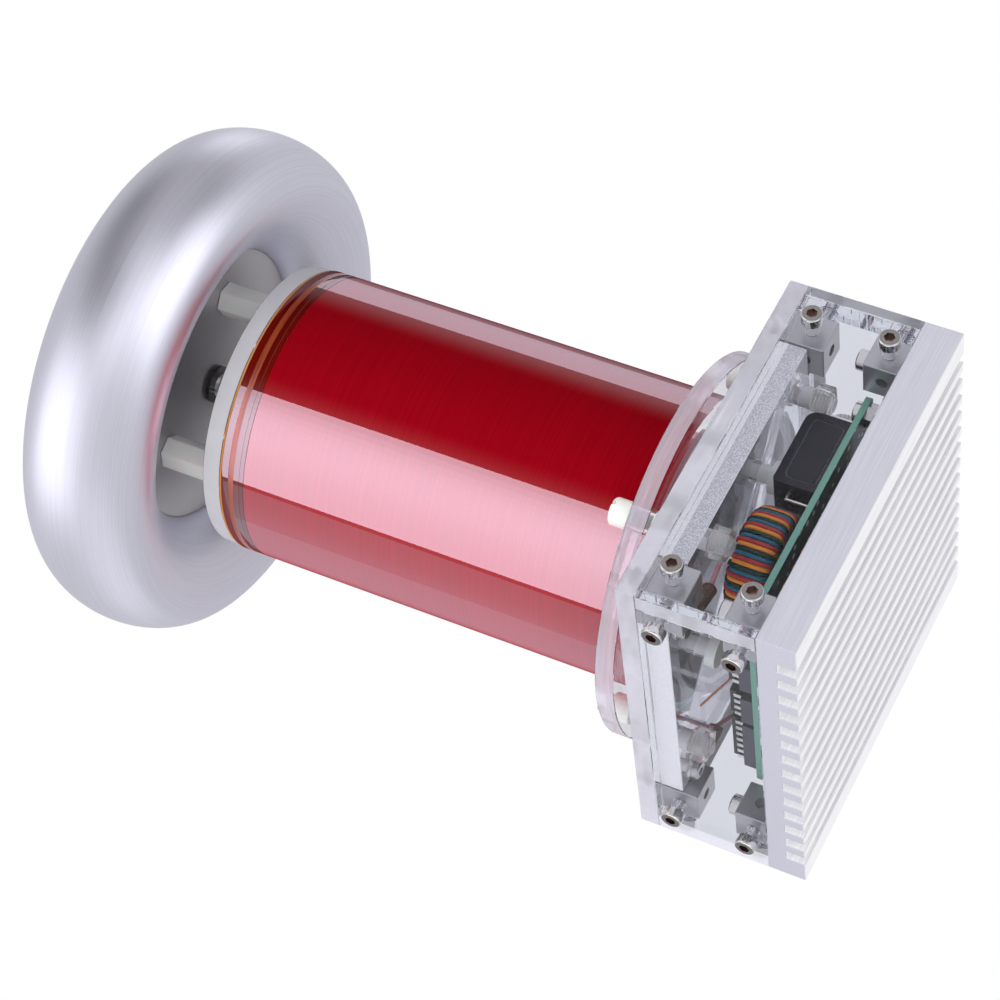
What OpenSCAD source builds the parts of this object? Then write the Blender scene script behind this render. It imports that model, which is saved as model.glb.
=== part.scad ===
// Desktop resonant transformer: a clear box on a finned heat sink, with its
// driver board inside, an upright wound coil and a spun metal toroid on top.
// Millimetres, +Z up, origin at the centre of the fin tips.

/* [Heat sink] */
// Width and depth of the heat sink and of the box
box_w = 100; // [99:1:112]
// Thickness of the heat sink plate above the fins
sink_base_t = 5; // [4.5:0.5:8]
// Height of the fins
fin_h = 5; // [3:0.5:12]
// Number of grooves between the fins
groove_n = 14; // [8:2:14]
// Distance from one groove to the next
groove_pitch = 6.3; // [5.4:0.1:6.8]
// Width of one groove
groove_w = 3.2; // [2:0.1:4]

/* [Box] */
// Thickness of the clear plates
plate_t = 5; // [4:0.5:6]
// Height of the side plates
wall_h = 30; // [30:1:45]
// Thickness of the plate under the lid
inner_t = 6; // [4:0.5:6]
// Edge of a corner block
block_w = 10; // [9:0.5:11]

/* [Screws] */
// Thread diameter of the metal screws
screw_d = 3; // [2.5:0.1:3.2]
// Diameter of a socket head
head_d = 5.5; // [5:0.1:6]
// Height of a socket head
head_h = 3; // [2:0.1:3.5]
// Width across flats of the hexagon socket
socket_af = 2.5; // [1.5:0.1:2.8]

/* [Flange] */
// Thickness of the clear ring round the foot of the coil
ring_t = 5; // [3:0.5:8]
// Height of the round spacers under the ring
spacer_h = 3.7; // [3:0.1:8]
// Distance from the nylon screws to the edge of the ring
flange_edge = 6.5; // [6:0.25:6.5]
// Thread diameter of the nylon screws
nylon_d = 5; // [4:0.5:5]
// Diameter of a nylon screw head
nylon_head_d = 7; // [6.5:0.5:8]
// Height of a nylon screw head
nylon_head_h = 6; // [3:0.5:8]
// Width across flats of a nylon nut or standoff
nylon_af = 8; // [7:0.5:8]
// Height of a nylon nut
nylon_nut_h = 4.5; // [3:0.5:5]

/* [Coil] */
// Outer diameter of the wound coil
coil_d = 76; // [72:0.5:76]
// Length of the tube between the end caps
tube_l = 115; // [80:5:200]
// Wall of the tube
tube_wall = 1.6; // [1:0.1:3]
// Thickness of the end caps
cap_t = 5; // [4:0.5:8]
// Depth of the winding on the tube
winding_t = 0.4; // [0.2:0.1:0.8]
// Bare stretch of tube above the winding
bare_top = 7; // [3:1:20]
// Bare stretch of tube under the winding
bare_foot = 2; // [1:0.5:10]
// Diameter of the heavy wire round the foot
primary_d = 1.3; // [1:0.1:1.3]
// Distance from one heavy turn to the next
primary_pitch = 1.8; // [1.8:0.05:1.9]

/* [Toroid] */
// Outer diameter of the toroid
toroid_d = 135; // [120:1:180]
// Height of the toroid
toroid_h = 35.6; // [30:0.2:50]
// Thickness of the spun sheet
sheet_t = 1.2; // [0.8:0.1:1.5]
// Height of the hexagon standoffs under the toroid
standoff_h = 19; // [17:0.5:30]
// Thickness of each floor in the middle of the toroid
floor_t = 1.5; // [1.2:0.1:2.5]

/* [Circuit board] */
// Thickness of the board
board_t = 1.6; // [1:0.1:2]
// Height of the board standoffs
board_lift = 7; // [6.8:0.1:8]
// Length of the film capacitor
film_l = 23; // [18:0.5:23]
// Width of the film capacitor
film_w = 15; // [10:0.5:15]
// Height of the film capacitor
film_h = 12.4; // [8:0.2:12.4]

/* [Wound transformer] */
// Diameter of one wire of the four-wire ribbon
ribbon_d = 1.3; // [0.9:0.05:1.3]
// Inner radius of the wire path
path_r_in = 6.95; // [6.9:0.05:7.5]
// Outer radius of the wire path
path_r_out = 13.25; // [12:0.05:13.3]
// Height of the wire path
path_h = 10; // [8:0.1:10]

/* [Hidden] */

$fn = 48;
// Overrun of every cut
cut = 1;
// Clearance across a screw in a plain hole
hole_gap = 0.4;
// Clearance across a screw in a tapped hole
thread_gap = 0.1;
// Clearance round a piece that is set between others
side_gap = 0.25;
// Clearance between the board and the corner blocks
board_gap = 0.5;
// Depth left under the tip of a screw
tip_gap = 0.3;

half_w = box_w / 2;
inner_w = box_w - 2 * plate_t;
sink_h = sink_base_t + fin_h;
wall_top = sink_h + wall_h;
lid_top = wall_top + plate_t;
inner_z = wall_top - inner_t;
block_c = inner_w / 2 - block_w / 2;
block_low_z = sink_h + block_w / 2;
block_high_z = wall_top - block_w / 2;
sides = [-1, 1];
corners = [for (x = sides) for (y = sides) [x * block_c, y * block_c]];

// Shares of the block that its side screws and of the sink that its screws take
side_thread_share = 0.3;
sink_thread_share = 0.8;
side_thread_l = side_thread_share * block_w;
sink_thread_l = sink_thread_share * sink_base_t;
head_chamfer = head_h / 10;
csk_d = 2 * screw_d;
csk_h = screw_d / 2;

// Heights up the flange, the coil and the toroid
ring_z = lid_top + spacer_h;
ring_top = ring_z + ring_t;
coil_r = coil_d / 2;
tube_r = coil_r - winding_t;
cap_top = lid_top + cap_t;
tube_top = cap_top + tube_l;
coil_top = tube_top + cap_t;
toroid_floor_z = coil_top + standoff_h;
toroid_upper_z = toroid_floor_z + floor_t;
toroid_floor_top = toroid_upper_z + floor_t;
flange_first_az = -30;
flange_az = [for (k = [0:3]) flange_first_az + 90 * k];
flange_r = half_w - flange_edge;
nut_tail = 1;
nut_seat_z = inner_z;

// Room for the heavy wire between the coil and the ring
primary_room = 2.2;
ring_bore_r = coil_r + primary_room;
primary_r = coil_r + primary_room / 2 + primary_d / 6;
primary_turns = 4;
primary_start_az = 232.5;
primary_end_az = primary_start_az + 360 * primary_turns + 75;
primary_out_r = primary_r + primary_d + thread_gap * 4;
primary_z = lid_top + primary_d;
primary_rings = 24;
slot_w = primary_d + 2 * hole_gap;

// Circle of the screws in the foot of the coil and of the toroid standoffs
stud_circle_share = 0.64;
stud_r = stud_circle_share * coil_r;
stud_az = [31, -89, 151];
stud_head_d = 8.5;
stud_head_h = 2.6;
stud_thread_share = 0.8;

// Toroid section: shares of its radius and height
toroid_r = toroid_d / 2;
crest_share = 0.83;
web_share = 0.545;
crest_r = crest_share * toroid_r;
web_r = web_share * toroid_r;
// Height of the seam of the toroid over its lower floor
seam_share = 0.0927;
seam_z = toroid_floor_z + seam_share * toroid_h;
section_n = 14;
inner_power = 1.45;

// Terminal bolt in the middle of the toroid
bolt_d = 4;
bolt_head_d = 7;
bolt_head_h = 1.5;
washer_d = 10;
washer_t = 1;
bolt_nut_h = 3.2;
bolt_tail = 1.5;

// Board and the pieces on it
board_w = inner_w - 2 * block_w - 2 * board_gap;
board_half = board_w / 2;
board_z = sink_h + board_lift;
board_top = board_z + board_t;
spacer_af = 5.5;
spot_share = 0.907;
board_spot_shares = [[1, 1], [1, -1], [-1, 1], [-1, -0.575]];
board_spots = [for (s = board_spot_shares) s * spot_share * board_half];
board_head_d = 5.4;
board_head_h = 1.8;
board_thread_l = 4;

// Flat power packages that lie on the heat sink under the board
package_w = 16;
package_l = 20;
package_t = 4.6;
pad_t = 0.3;
package_x_share = 0.8986;
package_y_share = -0.029;
package_x = package_x_share * board_half;
package_y = package_y_share * board_half;
package_pitch = 19;
package_hole_d = 3.6;
package_hole_in = 6;
package_head_h = 1.7;
package_thread_l = 4;
lead_w = 1.2;
lead_t = 0.6;
lead_out = 3;
lead_pitch = 5.45;

// Film capacitor
film_x_share = 0.6522;
film_y_share = 0.4928;
film_x = film_x_share * board_half;
film_y = film_y_share * board_half;
film_round = 1;
film_lead_d = 0.8;
film_lead_x = 4.5;
film_lead_z = 7.8;
film_lead_out = 2.2;

// Driver circuits: middle along X and number of pins on a side
pin_pitch = 2.54;
socket_wide = 10.16;
socket_h = 3.7;
socket_rail = 2.6;
socket_y_share = -0.8232;
socket_y = socket_y_share * board_half;
ic_middle_shares = [0.2029, -0.2, -0.6522];
ic_middles = ic_middle_shares * board_half;
ic_pins_side = [4, 4, 7];
ic_wide = 6.35;
ic_h = 3.2;
ic_gap = 0.4;
ic_end = 0.9;
pin_row = 7.8;
pin_t = 0.3;
pin_w = 1.3;
pin_drop = 1.3;
ic_notch_r = 0.8;

// Wound transformer
ring_x_share = 0.5507;
ring_y_share = -0.313;
ring_x = ring_x_share * board_half;
ring_y = ring_y_share * board_half;
path_lift = 1.7;
turns_per_wire = 5;
wire_count = 4;
wire_step = 15;
turn_step = wire_count * wire_step;
first_az = 225;
rings_per_loop = 24;
tube_sides = 6;
path_z = board_top + path_lift + ribbon_d / 2 + path_h / 2;
path_mid_r = (path_r_out + path_r_in) / 2;
path_half_w = (path_r_out - path_r_in) / 2;
core_gap = 0.25;
core_top_gap = 0.45;
core_chamfer = 0.9;
core_half_w = path_half_w - ribbon_d / 2 - core_gap;
core_half_h = path_h / 2 - ribbon_d / 2 - core_top_gap;

// Small current transformer
sense_d = 9;
sense_bore_d = 3.6;
sense_w = 5;
sense_x_share = 0.6232;
sense_x = sense_x_share * board_half;
// Gap between the film capacitor and the small current transformer
sense_gap = 0.7;
sense_y = film_y + film_l / 2 + sense_gap + sense_w / 2;
sense_chamfer = 0.8;

// Power socket in the left plate
socket_hole_d = 11;
socket_body_d = 10.6;
socket_flange_d = 14;
socket_flange_t = 2;
socket_body_l = 8;
socket_nut_t = 2.5;
socket_bore_d = 6;
socket_bore_l = 9;
socket_pin_d = 2;
socket_z = 26;
supply_d = 1.2;
supply_y = 2.5;
supply_x_share = 0.942;
supply_x = supply_x_share * board_half;
supply_z = 22;

// Lugs and leads of the heavy wire
lug_x_share = 0.884;
lug_y_share = -1.1536;
lug_x = lug_x_share * board_half;
lug_y = lug_y_share * board_half;
lug_d = 6;
lug_t = 1;
lug_hole_d = 3.4;
lug_barrel_d = 2.4;
lug_reach = 5;
lug_turn = [103, 76];
lug_head_d = 5;
lug_head_h = 1.8;
sleeve_d = 3.8;
sleeve_l = 7;
sleeve_start = 3.6;
lead_d = 1.2;
fine_lead_d = 0.6;

function polar(r, a) = [r * cos(a), r * sin(a)];
function unit(v) = v / norm(v);
function tangent(p, i) =
    unit(p[min(i + 1, len(p) - 1)] - p[max(i - 1, 0)]);
function ring_points(c, t, ref, r, n) =
    let (u = unit(ref - (ref * t) * t), v = cross(t, u))
    [for (k = [0:n - 1]) c + r * (cos(360 * k / n) * u + sin(360 * k / n) * v)];

// Tube of n sides along a path, with one reference direction for each point
module sweep(path, refs, d, n) {
    m = len(path);
    pts = [for (i = [0:m - 1])
        each ring_points(path[i], tangent(path, i), refs[i], d / 2, n)];
    start = [for (k = [1:n - 2]) [0, k, k + 1]];
    end = [for (k = [1:n - 2]) [(m - 1) * n, (m - 1) * n + k + 1, (m - 1) * n + k]];
    walls = [for (i = [0:m - 2]) for (k = [0:n - 1])
        let (a = i * n + k, b = i * n + (k + 1) % n, c = b + n, e = a + n)
        each [[a, e, c], [a, c, b]]];
    polyhedron(points = pts, faces = concat(start, end, walls), convexity = 10);
}

// Straight round rod from one point to another
module rod(p, q, d) {
    v = q - p;
    translate(p)
        rotate([0, acos(v[2] / norm(v)), atan2(v[1], v[0])])
            cylinder(d = d, h = norm(v));
}

// Bent wire through a list of points, with a rounded knee at each bend
module wire(pts, d) {
    for (i = [0:len(pts) - 2])
        rod(pts[i], pts[i + 1], d);
    if (len(pts) > 2)
        for (i = [1:len(pts) - 2])
            translate(pts[i])
                sphere(d = d * 1.1);
}

module hexagon(af, h) {
    cylinder(r = af / sqrt(3), h = h, $fn = 6);
}

// Head at the top of z = 0, shank of length l below it
module socket_screw(l, d, hd, hh, af) {
    difference() {
        union() {
            translate([0, 0, -l])
                cylinder(d = d, h = l + hh / 2);
            cylinder(d = hd, h = hh - head_chamfer);
            translate([0, 0, hh - head_chamfer])
                cylinder(d1 = hd, d2 = hd - 2 * head_chamfer, h = head_chamfer);
        }
        translate([0, 0, hh / 2])
            hexagon(af, hh);
    }
}

// Nylon screw with a tall round head
module nylon_screw(l, d, hd, hh) {
    edge = hh / 6;
    translate([0, 0, -l])
        cylinder(d = d, h = l + hh / 2);
    cylinder(d = hd, h = hh - edge);
    translate([0, 0, hh - edge])
        cylinder(d1 = hd, d2 = hd - 2 * edge, h = edge);
}

module nut(af, h, bore) {
    difference() {
        hexagon(af, h);
        translate([0, 0, -cut])
            cylinder(d = bore, h = h + 2 * cut);
    }
}

// Clear plate w wide and h high in the XZ plane, t thick towards +Y,
// with a screw hole near each corner
module wall(w, h, t, hole_x, hole_zs) {
    difference() {
        translate([-w / 2, 0, 0])
            cube([w, t, h]);
        for (x = sides)
            for (z = hole_zs)
                translate([x * hole_x, -cut, z])
                    rotate([-90, 0, 0])
                        cylinder(d = screw_d + hole_gap, h = t + 2 * cut);
    }
}

module full_wall() {
    wall(box_w, wall_h, plate_t, block_c,
        [block_low_z - sink_h, block_high_z - sink_h]);
}

module short_wall() {
    wall(inner_w, wall_h, plate_t, block_c,
        [block_low_z - sink_h, block_high_z - sink_h]);
}

module heat_sink() {
    color("silver")
    difference() {
        translate([-half_w, -half_w, 0])
            cube([box_w, box_w, sink_h]);
        for (k = [0:groove_n - 1])
            translate([(k - (groove_n - 1) / 2) * groove_pitch - groove_w / 2,
                -half_w - cut, -cut])
                cube([groove_w, box_w + 2 * cut, fin_h + cut]);
        for (p = corners)
            translate([p[0], p[1], sink_h - sink_thread_l - tip_gap])
                cylinder(d = screw_d + thread_gap, h = sink_thread_l + tip_gap + cut);
        for (p = board_spots)
            translate([p[0], p[1], sink_h - sink_thread_l - tip_gap])
                cylinder(d = screw_d + thread_gap, h = sink_thread_l + tip_gap + cut);
        for (y = package_places)
            translate([package_x - package_hole_in, y,
                sink_h - sink_thread_l - tip_gap])
                cylinder(d = screw_d + thread_gap, h = sink_thread_l + tip_gap + cut);
    }
}

module side_plate_right() {
    color([0.86, 0.9, 0.93, 0.35])
    translate([half_w, 0, sink_h])
        rotate([0, 0, 90])
            full_wall();
}

module side_plate_left() {
    color([0.86, 0.9, 0.93, 0.35])
    difference() {
        translate([-half_w + plate_t, 0, sink_h])
            rotate([0, 0, 90])
                full_wall();
        translate([-half_w - cut, 0, socket_z])
            rotate([0, 90, 0])
                cylinder(d = socket_hole_d, h = plate_t + 2 * cut);
    }
}

module side_plate_front() {
    color([0.86, 0.9, 0.93, 0.35])
    translate([0, -half_w, sink_h])
        short_wall();
}

module side_plate_back() {
    color([0.86, 0.9, 0.93, 0.35])
    translate([0, half_w - plate_t, sink_h])
        short_wall();
}

// Holes that pass through the lid and the plate under it
module lid_holes(z, h) {
    for (a = flange_az)
        translate([each polar(flange_r, a), z - cut])
            cylinder(d = nylon_d + hole_gap, h = h + 2 * cut);
    for (a = stud_az)
        translate([each polar(stud_r, a), z - cut])
            cylinder(d = nylon_d + hole_gap, h = h + 2 * cut);
    translate([each polar(primary_r, primary_start_az), z - cut])
        cylinder(d = primary_d + 2 * hole_gap, h = h + 2 * cut);
    translate([each polar(primary_out_r, primary_end_az), z - cut])
        cylinder(d = primary_d + 2 * hole_gap, h = h + 2 * cut);
}

module top_plate() {
    color([0.86, 0.9, 0.93, 0.35])
    difference() {
        translate([-half_w, -half_w, wall_top])
            cube([box_w, box_w, plate_t]);
        lid_holes(wall_top, plate_t);
        for (p = corners) {
            translate([p[0], p[1], wall_top - cut])
                cylinder(d = screw_d + hole_gap, h = plate_t + 2 * cut);
            translate([p[0], p[1], lid_top - csk_h - thread_gap])
                cylinder(d1 = screw_d, d2 = csk_d + 2 * thread_gap,
                    h = csk_h + thread_gap);
        }
    }
}

module inner_plate() {
    notch = block_w + side_gap;
    edge = inner_w / 2 - side_gap;
    color([0.8, 0.85, 0.9, 0.5])
    difference() {
        translate([-edge, -edge, inner_z])
            cube([2 * edge, 2 * edge, inner_t]);
        for (x = sides)
            for (y = sides)
                translate([x * (edge + cut - notch / 2), y * (edge + cut - notch / 2),
                    inner_z + inner_t / 2])
                    cube([notch + 2 * cut, notch + 2 * cut, inner_t + 2 * cut],
                        center = true);
        lid_holes(inner_z, inner_t);
        for (s = sides)
            translate([s * lug_x, lug_y, inner_z - cut])
                cylinder(d = screw_d + thread_gap, h = inner_t + 2 * cut);
    }
}

module block() {
    difference() {
        cube(block_w, center = true);
        cylinder(d = screw_d + thread_gap, h = block_w + 2 * cut, center = true);
        rotate([90, 0, 0])
            cylinder(d = screw_d + thread_gap, h = block_w + 2 * cut, center = true);
        rotate([0, 90, 0])
            cylinder(d = screw_d + thread_gap, h = block_w + 2 * cut, center = true);
    }
}

module corner_blocks_lower() {
    color("gainsboro")
    for (p = corners)
        translate([p[0], p[1], block_low_z])
            block();
}

module corner_blocks_upper() {
    color("gainsboro")
    for (p = corners)
        translate([p[0], p[1], block_high_z])
            block();
}

// Four screws through one side plate, with their heads towards +X
module side_screws() {
    color("lightgray")
    for (y = sides)
        for (z = [block_low_z, block_high_z])
            translate([half_w, y * block_c, z])
                rotate([0, 90, 0])
                    socket_screw(plate_t + side_thread_l, screw_d, head_d, head_h,
                        socket_af);
}

module side_screws_right_left() {
    for (a = [0, 180])
        rotate([0, 0, a])
            side_screws();
}

module side_screws_front_back() {
    for (a = [-90, 90])
        rotate([0, 0, a])
            side_screws();
}

module heat_sink_screws() {
    color("lightgray")
    for (p = corners)
        translate([p[0], p[1], sink_h + block_w])
            socket_screw(block_w + sink_thread_l, screw_d, head_d, head_h, socket_af);
}

module top_plate_screws() {
    color("lightgray")
    for (p = corners)
        translate([p[0], p[1], lid_top])
            difference() {
                union() {
                    translate([0, 0, -plate_t - block_w / 2])
                        cylinder(d = screw_d, h = plate_t + block_w / 2 - csk_h / 2);
                    translate([0, 0, -csk_h])
                        cylinder(d1 = screw_d, d2 = csk_d, h = csk_h);
                }
                translate([0, 0, -csk_h * 2 / 3])
                    hexagon(socket_af * 0.8, csk_h);
            }
}

module circuit_board() {
    color("seagreen")
    difference() {
        translate([-board_half, -board_half, board_z])
            cube([board_w, board_w, board_t]);
        for (p = board_spots)
            translate([p[0], p[1], board_z - cut])
                cylinder(d = screw_d + hole_gap, h = board_t + 2 * cut);
    }
}

module board_standoffs() {
    color("goldenrod")
    for (p = board_spots)
        translate([p[0], p[1], sink_h])
            difference() {
                union() {
                    hexagon(spacer_af, board_lift);
                    translate([0, 0, -sink_thread_l])
                        cylinder(d = screw_d, h = sink_thread_l + board_lift / 4);
                }
                translate([0, 0, board_lift - board_thread_l - tip_gap])
                    cylinder(d = screw_d + thread_gap, h = board_lift);
            }
}

module board_screws() {
    color("lightgray")
    for (p = board_spots)
        translate([p[0], p[1], board_top])
            socket_screw(board_t + board_thread_l, screw_d, board_head_d,
                board_head_h, socket_af * 0.8);
}

package_places = [for (k = [-1:1]) package_y + k * package_pitch];

module power_packages() {
    color([0.12, 0.12, 0.13])
    for (y = package_places)
        difference() {
            translate([package_x - package_l, y - package_w / 2, sink_h + pad_t])
                cube([package_l, package_w, package_t]);
            translate([package_x - package_hole_in, y, sink_h])
                cylinder(d = package_hole_d, h = pad_t + package_t + cut);
        }
}

module thermal_pads() {
    color("gainsboro")
    for (y = package_places)
        difference() {
            translate([package_x - package_l, y - package_w / 2, sink_h])
                cube([package_l, package_w, pad_t]);
            translate([package_x - package_hole_in, y, sink_h - cut])
                cylinder(d = package_hole_d, h = pad_t + 2 * cut);
        }
}

module package_screws() {
    color("lightgray")
    for (y = package_places)
        translate([package_x - package_hole_in, y, sink_h + pad_t + package_t])
            socket_screw(pad_t + package_t + sink_thread_l, screw_d, board_head_d,
                package_head_h, socket_af * 0.8);
}

module package_leads() {
    x0 = package_x - package_l;
    z0 = sink_h + pad_t + package_t / 2;
    color("silver")
    for (y = package_places)
        for (k = [-1:1])
            translate([0, y + k * lead_pitch + lead_w / 2, 0])
                rotate([90, 0, 0])
                    linear_extrude(lead_w)
                        polygon([[x0, z0], [x0, z0 + lead_t],
                            [x0 - lead_out + lead_t, z0 + lead_t],
                            [x0 - lead_out + lead_t, board_z],
                            [x0 - lead_out, board_z], [x0 - lead_out, z0]]);
}

module film_capacitor() {
    color([0.1, 0.1, 0.11])
    translate([film_x, film_y, board_top])
        linear_extrude(film_h) {
            square([film_w - 2 * film_round, film_l], center = true);
            square([film_w, film_l - 2 * film_round], center = true);
            for (x = sides)
                for (y = sides)
                    translate([x * (film_w / 2 - film_round),
                        y * (film_l / 2 - film_round)])
                        circle(r = film_round);
        }
}

module capacitor_leads() {
    color("silver")
    for (s = sides) {
        y0 = film_y + s * film_l / 2;
        x0 = film_x + film_lead_x;
        wire([[x0, y0, board_top + film_lead_z],
            [x0, y0 + s * film_lead_out, board_top + film_lead_z],
            [x0, y0 + s * film_lead_out, board_top]], film_lead_d);
    }
}

module transformer_core() {
    color([0.25, 0.33, 0.3])
    translate([ring_x, ring_y, path_z])
        rotate_extrude()
            translate([path_mid_r, 0])
                polygon([
                    [-core_half_w + core_chamfer, -core_half_h],
                    [core_half_w - core_chamfer, -core_half_h],
                    [core_half_w, -core_half_h + core_chamfer],
                    [core_half_w, core_half_h - core_chamfer],
                    [core_half_w - core_chamfer, core_half_h],
                    [-core_half_w + core_chamfer, core_half_h],
                    [-core_half_w, core_half_h - core_chamfer],
                    [-core_half_w, -core_half_h + core_chamfer]]);
}

// One wire of the ribbon: straight up from the board, five loops round the
// core, then outwards under it and straight down to the board
loop_end = 360 * turns_per_wire - 110;
loop_steps = floor(rings_per_loop * loop_end / 360);
function soft(c) = sign(c) * sqrt(abs(c));
function loop_point(w, t) =
    let (a = first_az + w * wire_step + turn_step * t / 360,
        r = path_mid_r + path_half_w * soft(cos(t)))
    [ring_x + r * cos(a), ring_y + r * sin(a), path_z + path_h / 2 * soft(sin(t))];
function wire_az(w, t) = first_az + w * wire_step + turn_step * t / 360;
function wire_ref(w, t) = [-sin(wire_az(w, t)), cos(wire_az(w, t)), 0];
function ribbon_path(w) =
    let (a0 = wire_az(w, 0), a1 = wire_az(w, loop_end),
        low = path_z - path_h / 2,
        end_r = path_mid_r + path_half_w * soft(cos(loop_end)) + ribbon_d * 0.9)
    concat(
        [[ring_x + path_r_out * cos(a0), ring_y + path_r_out * sin(a0), board_top],
        [ring_x + path_r_out * cos(a0), ring_y + path_r_out * sin(a0),
            board_top + ribbon_d]],
        [for (i = [0:loop_steps]) loop_point(w, loop_end * i / loop_steps)],
        [[ring_x + end_r * cos(a1), ring_y + end_r * sin(a1), low - ribbon_d / 4],
        [ring_x + (end_r + ribbon_d / 3) * cos(a1),
            ring_y + (end_r + ribbon_d / 3) * sin(a1), board_top + ribbon_d],
        [ring_x + (end_r + ribbon_d / 3) * cos(a1),
            ring_y + (end_r + ribbon_d / 3) * sin(a1), board_top]]);
function ribbon_refs(w) =
    concat([wire_ref(w, 0), wire_ref(w, 0)],
        [for (i = [0:loop_steps]) wire_ref(w, loop_end * i / loop_steps)],
        [for (i = [0:2]) wire_ref(w, loop_end)]);
module ribbon(w) {
    sweep(ribbon_path(w), ribbon_refs(w), ribbon_d, tube_sides);
}

module winding_orange() {
    color([0.93, 0.6, 0.2])
    ribbon(0);
}

module winding_red() {
    color([0.8, 0.25, 0.22])
    ribbon(1);
}

module winding_blue() {
    color([0.2, 0.5, 0.6])
    ribbon(2);
}

module winding_green() {
    color([0.1, 0.3, 0.27])
    ribbon(3);
}

module current_transformer() {
    ro = sense_d / 2;
    ri = sense_bore_d / 2;
    h = sense_w / 2;
    c = sense_chamfer;
    color("rosybrown")
    translate([sense_x, sense_y, board_top + ro])
        rotate([90, 0, 0])
            rotate_extrude()
                polygon([[ri + c, -h], [ro - c, -h], [ro, -h + c], [ro, h - c],
                    [ro - c, h], [ri + c, h], [ri, h - c], [ri, -h + c]]);
}

function ic_length(n) = n * pin_pitch;

module ic_sockets() {
    color([0.3, 0.3, 0.38])
    for (i = [0:2]) {
        l = ic_length(ic_pins_side[i]);
        translate([ic_middles[i], socket_y, board_top])
            difference() {
                translate([-l / 2, -socket_wide / 2, 0])
                    cube([l, socket_wide, socket_h]);
                translate([-l / 2 + socket_rail / 2, -socket_wide / 2 + socket_rail,
                    -cut])
                    cube([l - socket_rail, socket_wide - 2 * socket_rail,
                        socket_h + 2 * cut]);
            }
    }
}

module driver_ics() {
    color([0.16, 0.16, 0.2])
    for (i = [0:2]) {
        l = ic_length(ic_pins_side[i]) - ic_end;
        translate([ic_middles[i], socket_y, board_top + socket_h + ic_gap])
            difference() {
                translate([-l / 2, -ic_wide / 2, 0])
                    cube([l, ic_wide, ic_h]);
                translate([-l / 2, 0, ic_h - ic_notch_r])
                    cylinder(r = ic_notch_r, h = ic_h);
            }
    }
}

module ic_pins() {
    low = board_top + socket_h;
    top = low + ic_gap + ic_h / 2 + pin_t;
    color("silver")
    for (i = [0:2])
        for (k = [0:ic_pins_side[i] - 1])
            for (s = sides)
                translate([ic_middles[i]
                    + (k - (ic_pins_side[i] - 1) / 2) * pin_pitch - pin_w / 2,
                    socket_y, 0])
                    mirror([0, s < 0 ? 1 : 0, 0])
                        rotate([90, 0, 90])
                            linear_extrude(pin_w)
                                polygon([[ic_wide / 2, top - pin_t],
                                    [pin_row / 2 - pin_t, top - pin_t],
                                    [pin_row / 2 - pin_t, low],
                                    [pin_row / 2, low], [pin_row / 2, top],
                                    [ic_wide / 2, top]]);
}

module power_socket() {
    color([0.15, 0.15, 0.16])
    translate([-half_w, 0, socket_z])
        rotate([0, 90, 0])
            difference() {
                union() {
                    translate([0, 0, -socket_flange_t])
                        cylinder(d = socket_flange_d, h = socket_flange_t);
                    cylinder(d = socket_body_d, h = plate_t + socket_body_l);
                }
                difference() {
                    translate([0, 0, -socket_flange_t - cut])
                        cylinder(d = socket_bore_d, h = socket_bore_l + cut);
                    translate([0, 0, -socket_flange_t / 2])
                        cylinder(d = socket_pin_d, h = socket_bore_l + cut);
                }
            }
}

module power_socket_nut() {
    color("silver")
    translate([-half_w + plate_t, 0, socket_z])
        rotate([0, 90, 0])
            nut(socket_flange_d, socket_nut_t, socket_body_d + thread_gap);
}

module supply_leads() {
    x0 = -half_w + plate_t + socket_body_l;
    color("firebrick")
    for (s = sides)
        wire([[x0, s * supply_y, socket_z], [-supply_x, s * supply_y, socket_z],
            [-supply_x + supply_d, s * supply_y, supply_z],
            [-supply_x + supply_d, s * supply_y, board_top]], supply_d);
}

// Heavy wire: up through the plates, four turns, then down through the slot
primary_rise = primary_pitch * primary_turns;
primary_steps = primary_rings * primary_turns;
primary_low = inner_z - primary_d;
function primary_point(t) =
    [each polar(primary_r, primary_start_az + 360 * primary_turns * t),
        primary_z + primary_rise * t];
function primary_ref(a) = [cos(a), sin(a), 0];
// Shares of the way from the last turn to the slot
primary_tail_shares = [0.33, 0.67];
function primary_way(s) = primary_start_az + 360 * primary_turns
    + (primary_end_az - primary_start_az - 360 * primary_turns) * s;
function primary_climb(s) = primary_z + primary_pitch
    * (primary_turns + (primary_end_az - primary_start_az - 360 * primary_turns) / 360 * s);
primary_top = primary_climb(1);
// Angle that one wire diameter takes on the path of the heavy wire
primary_turn_in = asin(primary_d / primary_r) * 0.8;
primary_path = concat(
    [[each polar(primary_r, primary_start_az), primary_low],
    [each polar(primary_r, primary_start_az), lid_top + primary_d / 4]],
    [for (i = [0:primary_steps]) if (i > 0) primary_point(i / primary_steps)],
    [for (s = primary_tail_shares)
        [each polar(primary_r, primary_way(s)), primary_climb(s)]],
    [[each polar(primary_r, primary_end_az - primary_turn_in), primary_top],
    [each polar(primary_r + primary_d / 2, primary_end_az), primary_top],
    [each polar(primary_out_r, primary_end_az), primary_top - primary_d / 4],
    [each polar(primary_out_r, primary_end_az), primary_top - primary_d],
    [each polar(primary_out_r, primary_end_az), primary_low]]);
function primary_side(a) = [sin(a), -cos(a), 0];
primary_refs = concat(
    [primary_ref(primary_start_az), primary_ref(primary_start_az)],
    [for (i = [0:primary_steps]) if (i > 0)
        primary_ref(primary_start_az + 360 * i / primary_rings)],
    [for (s = primary_tail_shares) primary_ref(primary_way(s))],
    [primary_ref(primary_end_az),
    primary_ref(primary_end_az) + primary_side(primary_end_az)],
    [for (i = [0:2]) primary_side(primary_end_az)]);

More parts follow.
